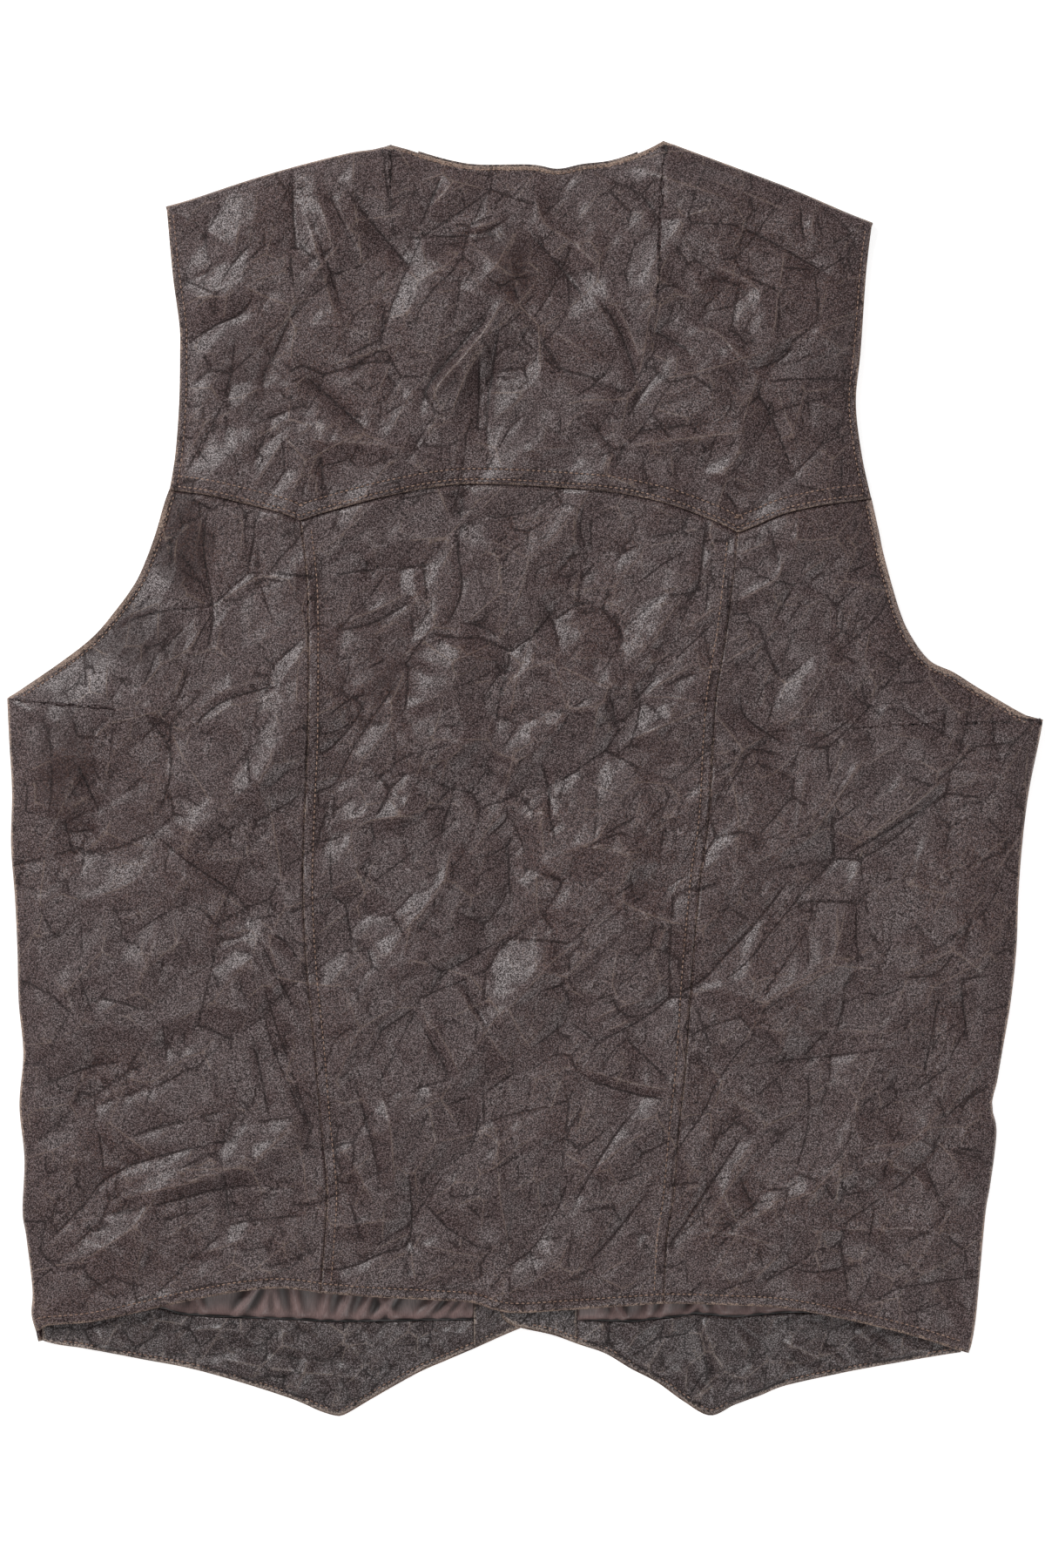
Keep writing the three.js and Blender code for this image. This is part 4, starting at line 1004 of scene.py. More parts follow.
def mixed(tree, share, one, other, blend="MIX"):
    """Colour one, turning into the other by share."""
    inputs = {0: share, 6: one, 7: other}
    return node_with(tree, "ShaderNodeMix", inputs, data_type="RGBA", blend_type=blend).outputs[2]


def multiplied(tree, color, share):
    """A colour made darker or lighter by a number."""
    return mixed(tree, 1.0, color, share, "MULTIPLY")


def ramped(tree, value, low, high, to_low=0.0, to_high=1.0):
    """A number carried from one range to another, softly and held at the ends."""
    inputs = {0: value, 1: low, 2: high, 3: to_low, 4: to_high}
    return node_with(tree, "ShaderNodeMapRange", inputs, interpolation_type="SMOOTHSTEP").outputs[0]


def faded(tree, value, zero, one):
    """The ramp turned over: 1 up to zero, 0 from one on."""
    return ramped(tree, value, zero, one, 1.0, 0.0)


def sums(tree, operation, *values):
    return node_with(tree, "ShaderNodeMath", dict(enumerate(values)), operation=operation).outputs[0]


def product(tree, first, *others):
    for other in others:
        first = sums(tree, "MULTIPLY", first, other)
    return first


def total(tree, first, *others):
    for other in others:
        first = sums(tree, "ADD", first, other)
    return first


def noise_of(tree, where, scale, detail, roughness):
    inputs = {"Vector": where, "Scale": scale, "Detail": detail, "Roughness": roughness}
    return node_with(tree, "ShaderNodeTexNoise", inputs).outputs[0]


def voronoi_of(tree, where, scale):
    inputs = {"Vector": where, "Scale": scale}
    return node_with(tree, "ShaderNodeTexVoronoi", inputs, feature="F1").outputs["Distance"]


# %% Group: pebbled worn leather
GRAIN_SCALE, SPECK_SCALE, PORE_SCALE = 1500, 760, 430
PATCH_SCALE, BROAD_SCALE = 38, 12


def worn_leather_group():
    tree = bpy.data.node_groups.new("worn leather", "ShaderNodeTree")
    for label in ("Dark", "Rust", "Rubbed and painted highlight", "Painted glint"):
        tree.interface.new_socket(label, in_out="INPUT", socket_type="NodeSocketColor")
    for label in ("Rim", "Crest", "Line", "Force", "Matte", "Grain"):
        tree.interface.new_socket(label, in_out="INPUT", socket_type="NodeSocketFloat")
    tree.interface.new_socket("Color", in_out="OUTPUT", socket_type="NodeSocketColor")
    for label in ("Roughness", "Gloss", "Height"):
        tree.interface.new_socket(label, in_out="OUTPUT", socket_type="NodeSocketFloat")
    given = tree.nodes.new("NodeGroupInput").outputs
    result = tree.nodes.new("NodeGroupOutput").inputs
    where = tree.nodes.new("ShaderNodeTexCoord").outputs["Object"]

    # The grain, the specks, two sizes of patches and the pores, from small to large.
    fine = noise_of(tree, where, GRAIN_SCALE, 2, 0.75)
    speck = noise_of(tree, where, SPECK_SCALE, 4, 0.75)
    patch = noise_of(tree, where, PATCH_SCALE, 3, 0.55)
    broad = noise_of(tree, where, BROAD_SCALE, 3, 0.55)
    pore = voronoi_of(tree, where, PORE_SCALE)
    bare = total(tree, ramped(tree, broad, 0.38, 0.66), ramped(tree, patch, 0.36, 0.74))
    hollow = ramped(tree, given["Crest"], -0.8, 0.0, 1.0, 0.0)
    high = ramped(tree, given["Crest"], 0.0, 0.8)

    # A crease line is painted dark where its force is below 0, as painted shade, and pale where it
    # is above 0, as painted highlight; the specks make it ragged.
    near = sums(tree, "ABSOLUTE", given["Line"])
    away = total(tree, near, ramped(tree, speck, 0.3, 0.7, -0.2, 0.4))
    sunk = ramped(tree, given["Force"], -1.0, -0.12, 1.0, 0.0)
    furrow = product(tree, faded(tree, away, 0.15, 1.0), sunk)
    crest = product(tree, faded(tree, away, 0.1, 0.65), ramped(tree, given["Force"], 0.25, 1.2))
    matte = total(
        tree, product(tree, bare, 0.2), product(tree, hollow, 0.35), product(tree, furrow, 0.9),
        product(tree, given["Matte"], 0.8),
    )

    # The colour: dark and rust, darker in the grain, pores and dull places. Hollows and crease
    # furrows are painted darker, partly as wear and partly as painted shade, and crests lighter,
    # partly as wear and partly as painted highlight.
    specks = product(tree, ramped(tree, speck, 0.5, 0.64), ramped(tree, bare, 0.3, 1.6, 0.12, 0.8))
    color = mixed(tree, specks, given["Dark"], given["Rust"])
    shiny = faded(tree, matte, 0.0, 1.3)
    contrast = product(tree, given["Grain"], ramped(tree, shiny, 0.3, 0.95, 0.5, 1.2))
    grain = total(tree, product(tree, ramped(tree, fine, 0.39, 0.61, -0.87, 0.9), contrast), 1.0)
    color = multiplied(tree, color, grain)
    depth = product(
        tree,
        ramped(tree, hollow, 0, 1, 1.0, 0.8), ramped(tree, high, 0, 1, 1.0, 1.15),
        ramped(tree, furrow, 0, 1, 1.0, 0.45), ramped(tree, pore, 0.12, 0.3, 0.25, 1.0),
        ramped(tree, given["Matte"], 0, 1, 1.0, 0.66),
    )
    color = multiplied(tree, color, depth)

    # The grain's tops get a painted glint in their colour. Crests and pale crease lines are painted
    # lighter, partly as rubbed wear and partly as painted highlight, and rims are rubbed pale.
    painted_glint = product(tree, ramped(tree, fine, 0.51, 0.62), ramped(tree, shiny, 0, 1, 0.25, 1.0))
    color = mixed(tree, painted_glint, color, given["Painted glint"])
    crest_specks_wear_and_highlight = product(tree, high, ramped(tree, speck, 0.45, 0.6, 0.0, 0.06))
    crest_wear_and_painted_highlight = total(tree, crest_specks_wear_and_highlight, product(tree, crest, 0.26))
    color = mixed(tree, crest_wear_and_painted_highlight, color, given["Rubbed and painted highlight"])
    ragged = ramped(tree, speck, 0.38, 0.62, 0.0, 1.3)
    rubbed = product(
        tree, ramped(tree, sums(tree, "SUBTRACT", ragged, given["Rim"]), -0.2, 0.6, 0.0, 0.9),
        ramped(tree, fine, 0.38, 0.58, 0.15, 1.1), ramped(tree, patch, 0.38, 0.6, 0.5, 1.1),
    )
    tree.links.new(mixed(tree, rubbed, color, given["Rubbed and painted highlight"]), result["Color"])

    # Dull and rubbed places are rougher and have less of the coat.
    dull = total(tree, product(tree, matte, 0.2), product(tree, rubbed, 0.2), 0.42)
    tree.links.new(dull, result["Roughness"])
    gloss = product(
        tree, ramped(tree, fine, 0.4, 0.6), ramped(tree, pore, 0.1, 0.35),
        ramped(tree, shiny, 0, 1, 0.3, 1.0), faded(tree, rubbed, 0.0, 0.8),
    )
    tree.links.new(gloss, result["Gloss"])

    height = total(
        tree, ramped(tree, pore, 0.0, 0.45, 0.0, 0.8), product(tree, fine, 1.1), product(tree, speck, 0.9),
        product(tree, crest, 1.0), product(tree, furrow, -1.4),
    )
    tree.links.new(height, result["Height"])
    return tree


WORN_LEATHER = worn_leather_group()
PEBBLE_HEIGHT = 0.33
LEATHER_MARKS = {
    "Rim": "rim_mm", "Crest": "crest_mm", "Line": "line_mm", "Force": "line_force", "Matte": "matte"
}


def new_material(name):
    material = bpy.data.materials.new(name)
    material.use_nodes = True
    return material, material.node_tree, material.node_tree.nodes["Principled BSDF"]


def leather(name, dark, rust, rubbed, painted_glint, pebble):
    """A leather from the shared group, with its own colours and strength of grain."""
    material, tree, shader = new_material(name)
    grain = tree.nodes.new("ShaderNodeGroup")
    grain.node_tree = WORN_LEATHER
    for label, value in (("Dark", dark), ("Rust", rust), ("Rubbed and painted highlight", rubbed), ("Painted glint", painted_glint)):
        grain.inputs[label].default_value = (*value, 1)
    grain.inputs["Grain"].default_value = pebble
    for label, source in LEATHER_MARKS.items():
        mark = node_with(tree, "ShaderNodeAttribute", {}, attribute_name=source)
        tree.links.new(mark.outputs["Fac"], grain.inputs[label])
    bump = {"Strength": pebble, "Distance": PEBBLE_HEIGHT * MM, "Height": grain.outputs["Height"]}
    relief = node_with(tree, "ShaderNodeBump", bump)
    tree.links.new(relief.outputs["Normal"], shader.inputs["Normal"])
    tree.links.new(grain.outputs["Color"], shader.inputs["Base Color"])
    tree.links.new(grain.outputs["Roughness"], shader.inputs["Roughness"])
    tree.links.new(grain.outputs["Gloss"], shader.inputs["Coat Weight"])
    shader.inputs["Coat Roughness"].default_value = 0.34
    shader.inputs["Specular IOR Level"].default_value = 0.3
    return material


# The glint colour is a painted glint on the grain's tops, and the rubbed colour also paints the crests'
# highlight.
SHELL_LEATHER = leather(
    "shell leather", dark=(0.05, 0.0245, 0.0235), rust=(0.125, 0.058, 0.042),
    rubbed=(0.46, 0.335, 0.27), painted_glint=(0.21, 0.161, 0.161), pebble=0.7,
)
FACING_LEATHER = leather(
    "facing leather", dark=(0.036, 0.0215, 0.0205), rust=(0.07, 0.042, 0.034),
    rubbed=(0.5, 0.4, 0.345), painted_glint=(0.215, 0.178, 0.182), pebble=0.45,
)


# %% [markdown]
# ## Lining, thread and snap metal
# The lining is brown satin. Satin's long threads lie side by side, so its shine runs in a band,
# which an anisotropic shader shows, and its tucks are painted darker between their crests and
# lighter on them, as painted shade and painted highlight. Thread is a plain rough red-brown with
# a twist that is too fine to see. The snaps are dulled brass.

# %% Satin, thread and dulled metal
SATIN_SCALE = 2600
SATIN_STRETCH = 0.08
WEAR_SCALE = 900
TARNISH_SCALE = 400


def satin():
    material, tree, shader = new_material("lining satin")
    where = tree.nodes.new("ShaderNodeTexCoord").outputs["Object"]
    stretch = node_with(tree, "ShaderNodeMapping", {"Scale": (1.0, SATIN_STRETCH, 1.0), "Vector": where})
    threads = noise_of(tree, stretch.outputs[0], SATIN_SCALE, 2, 0.6)
    color = mixed(tree, ramped(tree, threads, 0.3, 0.7), (0.135, 0.085, 0.08, 1), (0.225, 0.149, 0.14, 1))
    # The tucks are painted darker between their crests and lighter on them: painted shade and painted
    # highlight.
    crest = node_with(tree, "ShaderNodeAttribute", {}, attribute_name="crest_mm")
    color = multiplied(tree, color, ramped(tree, crest.outputs["Fac"], -0.5, 0.28, 0.12, 1.12))
    tree.links.new(color, shader.inputs["Base Color"])
    bump = {"Strength": 0.2, "Distance": 0.1 * MM, "Height": threads}
    relief = node_with(tree, "ShaderNodeBump", bump)
    tree.links.new(relief.outputs["Normal"], shader.inputs["Normal"])
    shader.inputs["Roughness"].default_value = 0.38
    shader.inputs["Anisotropic"].default_value = 0.5
    shader.inputs["Sheen Weight"].default_value = 0.25
    return material


def thread():
    material, tree, shader = new_material("thread")
    where = tree.nodes.new("ShaderNodeTexCoord").outputs["Object"]
    worn = noise_of(tree, where, WEAR_SCALE, 2, 0.6)
    color = mixed(tree, ramped(tree, worn, 0.35, 0.65), (0.2, 0.115, 0.085, 1), (0.46, 0.31, 0.24, 1))
    tree.links.new(color, shader.inputs["Base Color"])
    shader.inputs["Roughness"].default_value = 0.7
    return material


def dulled_metal():
    material, tree, shader = new_material("dulled snap metal")
    where = tree.nodes.new("ShaderNodeTexCoord").outputs["Object"]
    tarnish = noise_of(tree, where, TARNISH_SCALE, 4, 0.6)
    color = mixed(tree, ramped(tree, tarnish, 0.35, 0.65), (0.2, 0.13, 0.075, 1), (0.34, 0.26, 0.17, 1))
    tree.links.new(color, shader.inputs["Base Color"])
    tree.links.new(ramped(tree, tarnish, 0.3, 0.7, 0.3, 0.55), shader.inputs["Roughness"])
    shader.inputs["Metallic"].default_value = 1.0
    return material


SATIN = satin()
THREAD = thread()
SNAP_METAL = dulled_metal()

# %% [markdown]
# ## The back panels
# The yoke is lapped over the panels below and sewn down with two rows, so it lies one
# thickness higher, and the turned-in edge makes a low band as wide as the rows. Each upright
# seam is pressed towards the middle and topstitched there, which gives the middle panel a band
# along both sides. All of this is height, added to the creased back.

# %% Heights of the panels
SEAM_GAP = 0.3
HALF_SEAM = SEAM_GAP / 2
SHELL_WALL = 1.2
YOKE_STEP = 0.5
BAND_HEIGHT = 0.35
YOKE_BAND = 8.0
YOKE_LAP = 0.8
PANEL_TUCK = 0.5
PANEL_DIP = 1.25
DIP_UNDER = (0.8, 2.8)
BAND_EDGE = (-1.5, 1.0)
SEAM_BAND = 6.0
HEM_BAND = 6.5
GROOVE_DEPTH = 1.3
COARSE = slice(None, None, 4)


def offset(line, distance):
    """The line moved sideways, to the left of the way it runs if the distance is positive."""
    way = np.gradient(line, axis=0)
    way /= np.linalg.norm(way, axis=1, keepdims=True)
    return line + np.stack([-way[:, 1], way[:, 0]], axis=1) * distance


def joined(*lines):
    return np.vstack([lines[0]] + [line[1:] for line in lines[1:]])


YOKE_EDGE = joined(YOKE_EDGE_LEFT, YOKE_EDGE_MIDDLE, YOKE_EDGE_RIGHT)
BACK_HEM = joined(BACK_HEM_LEFT[::-1], BACK_HEM_MIDDLE, BACK_HEM_RIGHT)
LEFT_ARMHOLE = joined(LEFT_ARMHOLE_LOW, LEFT_ARMHOLE_HIGH)
RIGHT_ARMHOLE = joined(RIGHT_ARMHOLE_LOW, RIGHT_ARMHOLE_HIGH)
YOKE_INSETS = (1.6, 7.0)
SEAM_INSET = 5.0
HEM_INSET = 5.0
ARMHOLE_INSET = 3.6
NECK_INSET = 2.8
YOKE_ROWS = [offset(YOKE_EDGE, inset) for inset in YOKE_INSETS]
SEAM_ROWS = [offset(LEFT_SEAM, -SEAM_INSET), offset(RIGHT_SEAM, SEAM_INSET)]
HEM_ROW = offset(BACK_HEM, HEM_INSET)
NECK_ROW = offset(NECK, -NECK_INSET)
ARMHOLE_ROWS = [offset(LEFT_ARMHOLE, -ARMHOLE_INSET), offset(RIGHT_ARMHOLE, ARMHOLE_INSET)]
EDGE_ROWS = [HEM_ROW, *ARMHOLE_ROWS, NECK_ROW]
GROOVES = [Crease(-GROOVE_DEPTH, 1, row[COARSE]) for row in YOKE_ROWS + SEAM_ROWS + EDGE_ROWS]


def band(points, line, width):
    """A low raised band along a line, for the leather turned in under it."""
    gap = path_distance(points, line[COARSE])
    return BAND_HEIGHT * (1 - smoothstep(width + BAND_EDGE[0], width + BAND_EDGE[1], gap))


def panel_height(points):
    """The outer face of the three lower panels."""
    under_yoke = 1 - smoothstep(*DIP_UNDER, path_distance(points, YOKE_EDGE[COARSE]))
    return back_height(points) + band(points, BACK_HEM, HEM_BAND) - PANEL_DIP * under_yoke


def middle_height(points):
    edges = [band(points, seam, SEAM_BAND) for seam in (LEFT_SEAM, RIGHT_SEAM)]
    return panel_height(points) + np.maximum(*edges)


def yoke_height(points):
    gap, _, _ = nearest_edge(points)
    inset = np.maximum(0, gap - FOLD_RADIUS)
    step = (YOKE_STEP + band(points, YOKE_EDGE, YOKE_BAND)) * (1 - np.exp(-inset / RELIEF_INSET))
    return back_height(points) + step


# %% Cut the back panels
STEP = 1.45
LEFT, RIGHT = -1, 1
SHOULDER_END, NECK_END = 10 / 32, 22 / 32
YOKE_POINTS = (6 / 32, 26 / 32)
NECK_SOFT = 0.6 / 32
YOKE_SIZE = (370, 180)
MIDDLE_SIZE = (205, 420)
SIDE_SIZE = (145, 420)
UNDERARM = 20 / 28
UNDERARM_SOFT = 0.06
NECK_FACING_SHOWS = 1.2


def whole(line):
    return lambda t: at(line, t)


def counts(size):
    """How many columns and rows of the mesh's step a piece of this size has."""
    return [int(round(length / STEP)) for length in size]


def lifted(line, amount):
    """The line moved up by an amount that fades out along it."""
    return lambda t: at(line, t) + np.stack([0 * t, amount * (1 - t)], axis=-1)


def shift(line, dy):
    return line + np.array([0, dy])


def over_neck(u):
    """1 along the neck and 0 along the shoulders, for a share of the yoke's upper side."""
    from_left = smoothstep(SHOULDER_END - NECK_SOFT, SHOULDER_END + NECK_SOFT, u)
    return from_left * (1 - smoothstep(NECK_END - NECK_SOFT, NECK_END + NECK_SOFT, u))


def cut_yoke():
    outline = chain((LEFT_SHOULDER, SHOULDER_END), (NECK, NECK_END), (RIGHT_SHOULDER, 1))

    def top(u):
        return outline(u) - np.stack([0 * u, NECK_FACING_SHOWS * over_neck(u)], axis=-1)

    lines = (YOKE_EDGE_LEFT, YOKE_EDGE_MIDDLE, YOKE_EDGE_RIGHT)
    edge = chain(*zip(lines, (*YOKE_POINTS, 1)))
    return cut_piece(
        lifted(LEFT_ARMHOLE_HIGH, -YOKE_LAP),
        lifted(RIGHT_ARMHOLE_HIGH, -YOKE_LAP),
        lambda u: edge(u) - [0, YOKE_LAP],
        top,
        *counts(YOKE_SIZE),
        yoke_height,
        fold_top=Fold(lambda u: SHOULDER_TURN * (1 - over_neck(u)), -1),
    )


def cut_middle():
    return cut_piece(
        whole(offset(LEFT_SEAM, -HALF_SEAM)),
        whole(offset(RIGHT_SEAM, HALF_SEAM)),
        whole(BACK_HEM_MIDDLE),
        whole(shift(YOKE_EDGE_MIDDLE, PANEL_TUCK)),
        *counts(MIDDLE_SIZE),
        middle_height,
    )


def cut_side(side):
    left = side == LEFT
    outer = chain(
        (LEFT_SIDE if left else RIGHT_SIDE, UNDERARM),
        (LEFT_ARMHOLE_LOW if left else RIGHT_ARMHOLE_LOW, 1),
    )
    seam = offset(LEFT_SEAM, HALF_SEAM) if left else offset(RIGHT_SEAM, -HALF_SEAM)
    top = YOKE_EDGE_LEFT[::-1] if left else YOKE_EDGE_RIGHT
    return cut_piece(
        whole(seam),
        outer,
        whole(BACK_HEM_LEFT if left else BACK_HEM_RIGHT),
        whole(shift(top, PANEL_TUCK)),
        *counts(SIDE_SIZE),
        panel_height,
        fold_right=Fold(
            lambda v: SIDE_TURN * (1 - smoothstep(UNDERARM, UNDERARM + UNDERARM_SOFT, v)), side
        ),
    )


BACK_PIECES = {
    "back_yoke": cut_yoke(),
    "middle_back": cut_middle(),
    "side_back_left": cut_side(LEFT),
    "side_back_right": cut_side(RIGHT),
}
UNWORN = 3.0
FACING_SEAM_WORN = 1.0
SEAM_WORN = 0.55
EDGE_WORN = -0.4
YOKE_EDGE_WORN = -0.1
SHOULDER_ROWS = 6
RIM_AWAY = {
    "back_yoke": ((EDGE_WORN, EDGE_WORN, YOKE_EDGE_WORN, EDGE_WORN), (0, 3)),
    "middle_back": ((SEAM_WORN, SEAM_WORN, EDGE_WORN, UNWORN), (0, 0)),
    "side_back_left": ((SEAM_WORN, EDGE_WORN, EDGE_WORN, UNWORN), (4, 0)),
    "side_back_right": ((SEAM_WORN, EDGE_WORN, EDGE_WORN, UNWORN), (4, 0)),
}
for node, points in BACK_PIECES.items():
    away, rolled = RIM_AWAY[node]
    worn = edge_gap(points, away, rolled)
    if node == "back_yoke":
        shoulders = over_neck(np.linspace(0, 1, points.shape[1])) < 0.5
        worn[-SHOULDER_ROWS:, shoulders] = EDGE_WORN
    dress(
        node, points, SHELL_WALL, SHELL_LEATHER, "shell_leather", ["front_left_shell", "front_right_shell"],
        worn=worn, creases=BACK_CREASES + SMALL_CREASES + GROOVES, sets=BACK_FACETS, calm=True,
    )

# %% [markdown]
# ## The fronts
# Both fronts lie flat on the table under the back. The outer one's edge is held up a little by
# its snaps, and the inner one steps over it. Only their pointed hems show.

# %% Cut the fronts
FRONT_WALL = 1.4
FACING_WALL = 1.2
LAYER_GAP = 0.3
PLACKET_RISE = 2.0
LAP_RISE = PLACKET_RISE + FRONT_WALL + FACING_WALL + 2 * LAYER_GAP
PLACKET_X = (-40, -15)
LAP_X = (16, 48)
LAP_ENDS = (45, 95)
FRONT_UNDERARM = 11 / 21
FRONT_UNDERARM_SOFT = 0.07
SHOULDER_STARTS = (0.04, 0.16)
SHOULDER_ENDS = (0.88, 1)
FRONT_SIZE = (270, 640)
FRONT_STEP = (2.5, 6.0)
LEFT_FRONT_CORNER = (-254.8, -294.6)
CORNER_STEPS = 24


def lap_share(y):
    """How much the fronts lap at this y: wholly below the V neck, and not above it."""
    return 1 - smoothstep(*LAP_ENDS, y)


def left_front_height(points):
    x, y = points.T
    return PLACKET_RISE * smoothstep(*PLACKET_X, x) * lap_share(y)


def right_front_height(points):
    x, y = points.T
    return LAP_RISE * (1 - smoothstep(*LAP_X, x)) * lap_share(y)


def cut_front(side):
    left = side == LEFT
    shoulder = LEFT_SHOULDER[::-1] if left else RIGHT_SHOULDER
    hem = LEFT_FRONT_HEM[::-1] if left else RIGHT_FRONT_HEM[::-1]
    outside = LEFT_SIDE if left else RIGHT_SIDE
    # The left side's fold ends a little inside the hem's corner, so both meet in one point.
    if left:
        hem = np.vstack([hem[:-CORNER_STEPS], LEFT_FRONT_CORNER])
        outside = np.vstack([LEFT_FRONT_CORNER, outside])
    gap_turn = SEAM_GAP / FOLD_RADIUS

    def side_turn(v):
        below = 1 - smoothstep(FRONT_UNDERARM - FRONT_UNDERARM_SOFT, FRONT_UNDERARM, v)
        return (math.pi - SIDE_TURN - gap_turn) * below

    def shoulder_turn(u):
        ends = smoothstep(*SHOULDER_STARTS, u) * (1 - smoothstep(*SHOULDER_ENDS, u))
        return (math.pi - SHOULDER_TURN - gap_turn) * ends

    return cut_piece(
        chain(
            (LEFT_FRONT_EDGE if left else RIGHT_FRONT_EDGE, FRONT_UNDERARM),
            (LEFT_V_NECK if left else RIGHT_V_NECK, 1),
        ),
        chain(
            (outside, FRONT_UNDERARM),
            (LEFT_FRONT_ARMHOLE if left else RIGHT_FRONT_ARMHOLE, 1),
        ),
        whole(hem),
        whole(shoulder),
        *[int(length / step) for length, step in zip(FRONT_SIZE, FRONT_STEP)],
        left_front_height if left else right_front_height,
        up=-1,
        fold_right=Fold(side_turn, side),
        fold_top=Fold(shoulder_turn, -side),
    )


for side, word in ((LEFT, "left"), (RIGHT, "right")):
    points = cut_front(side)
    worn = edge_gap(points, (EDGE_WORN, UNWORN, 2 * EDGE_WORN, UNWORN))
    dress(f"front_{word}", points, FRONT_WALL, SHELL_LEATHER, "shell_leather", [], up=-1, worn=worn)

# %% [markdown]
# ## Facings and lining
# Inside the pointed hems a facing of darker leather is turned up, with stiff creases of its
# own. Above it the satin lining hangs free: it is cut a little too long and falls in soft tucks
# that lean to one side.

# %% Creases of the facings
FACING_CREASES = [
    furrow(0.9, 2.2, (-250, -290), (-238, -291), (-225, -292)),
    ridge(0.9, 1.8, (-240, -288), (-235, -293), (-230, -296)),
    ridge(0.8, 1.8, (-224, -287), (-222, -292), (-220, -298)),
    ridge(0.7, 1.8, (-213, -288), (-212, -293), (-209, -299)),
    ridge(0.9, 2.4, (-190, -291), (-165, -288), (-140, -289)),
    furrow(0.9, 2.4, (-200, -298), (-175, -302), (-150, -300)),
    ridge(1.2, 2.6, (-165, -302), (-140, -307), (-110, -311), (-75, -314)),
    furrow(0.8, 2.2, (-160, -296), (-120, -303), (-90, -304)),
    ridge(0.7, 2.0, (-100, -292), (-85, -300), (-70, -306)),
    furrow(0.7, 2.0, (-62, -290), (-56, -298), (-46, -302)),
    furrow(1.6, 1.8, (88, -282), (93, -300), (97, -322)),
    ridge(1.1, 1.8, (92, -283), (98, -300), (101, -318)),
    furrow(0.8, 1.8, (80, -284), (84, -296), (86, -310)),
    furrow(0.9, 1.8, (118, -288), (127, -299), (118, -304)),
    ridge(0.8, 2.0, (110, -288), (116, -298), (112, -310)),
    ridge(0.9, 2.0, (130, -292), (145, -299), (160, -306)),
    furrow(0.9, 2.0, (135, -303), (142, -306), (150, -308)),
    furrow(0.9, 2.0, (160, -295), (164, -301), (168, -306)),
    ridge(0.8, 2.0, (170, -288), (180, -294), (192, -300)),
    ridge(0.7, 2.0, (30, -285), (36, -291), (42, -297)),
    furrow(0.6, 2.0, (46, -288), (54, -295), (62, -302)),
]
FACING_CRUMPLED = [Patch(-245, -325, -30, -284, 70, 14, 0.45), Patch(30, -325, 222, -284, 70, 14, 0.45)]
FACING_CRUMPLE = strewn(FACING_CRUMPLED, seed=8)
Tuck = namedtuple("Tuck", "x width height lean")
LINING_TUCKS = [
    Tuck(-187, 4.0, 1.2, 4), Tuck(-176, 3.0, 0.9, 5), Tuck(-168, 3.2, 1.8, -6), Tuck(-152, 3.2, 3.2, 9),
    Tuck(-139, 4.0, 1.6, 4), Tuck(-128, 3.0, 1.0, -3), Tuck(-118, 3.0, 2.4, -3), Tuck(-107, 3.5, 1.4, 3),
    Tuck(-98, 3.6, 2.4, 5), Tuck(-88, 3.0, 1.3, 7), Tuck(-79, 3.0, 3.0, 10), Tuck(-68, 3.2, 1.8, -8),
    Tuck(-58, 4.0, 1.8, 14), Tuck(-47, 3.0, 1.5, 12), Tuck(-38, 3.6, 1.4, 8), Tuck(36, 4.0, 1.2, -4),
    Tuck(45, 3.0, 1.0, 4), Tuck(52, 3.0, 2.8, -7), Tuck(62, 3.4, 1.5, 5), Tuck(70, 4.0, 2.2, 6),
    Tuck(84, 3.0, 3.0, 12), Tuck(94, 3.6, 1.3, -5), Tuck(104, 5.0, 1.8, -8), Tuck(116, 4.0, 1.2, 6),
    Tuck(128, 5.0, 1.9, -10), Tuck(142, 4.0, 1.2, -8), Tuck(155, 5.0, 1.0, -6),
]

# %% Cut the facings and lining
HEM_MARGIN = 0.9
INSIDE_TOP_Y = -232
LAP_BRIDGE = 7
LINING_WALL = 0.8
FACING_SEAM = 27
FACING_RELIEF = 1.8
FACING_LIFT = 1.3
FACING_FLOOR = -0.2
FACING_SWELLS = (1.5, 6)
FACING_OUTER = {"left": -252.5, "right": 228}
FACING_INNER = {"left": 9.8, "right": -12.3}
FACING_ROWS = {"hem": 30, "edge": 34, "lining": 34}
INSIDE_STEP = 1.5
LINING_RISE = 2.2
LINING_END = 248
LINING_END_FADE = 12
LINING_STARTS = (-0.1, 1.4)
TUCK_HEIGHT = 1.5
TUCK_START = 0.45
TUCK_SPREAD = 40
TUCK_LEAN = 14
INSIDE_ROOM = 7.6
FRONT_HEM_INSET = 3.2


def y_at(line):
    """The y of a line at an x, for a line that runs one way in x."""
    ordered = line[np.argsort(line[:, 0])]
    return lambda x: np.interp(x, ordered[:, 0], ordered[:, 1])


def over_front(side, points, wall):
    """The upper face of a layer of this thickness that lies on a front."""
    front = left_front_height if side == LEFT else right_front_height
    bridge = np.array([-side * LAP_BRIDGE, 0])
    return front(points + bridge) + FRONT_WALL + LAYER_GAP + wall


def straight(low, high):
    """The side of a grid that runs straight from one point to the other."""
    return lambda t: low + (high - low) * np.asarray(t)[:, None]


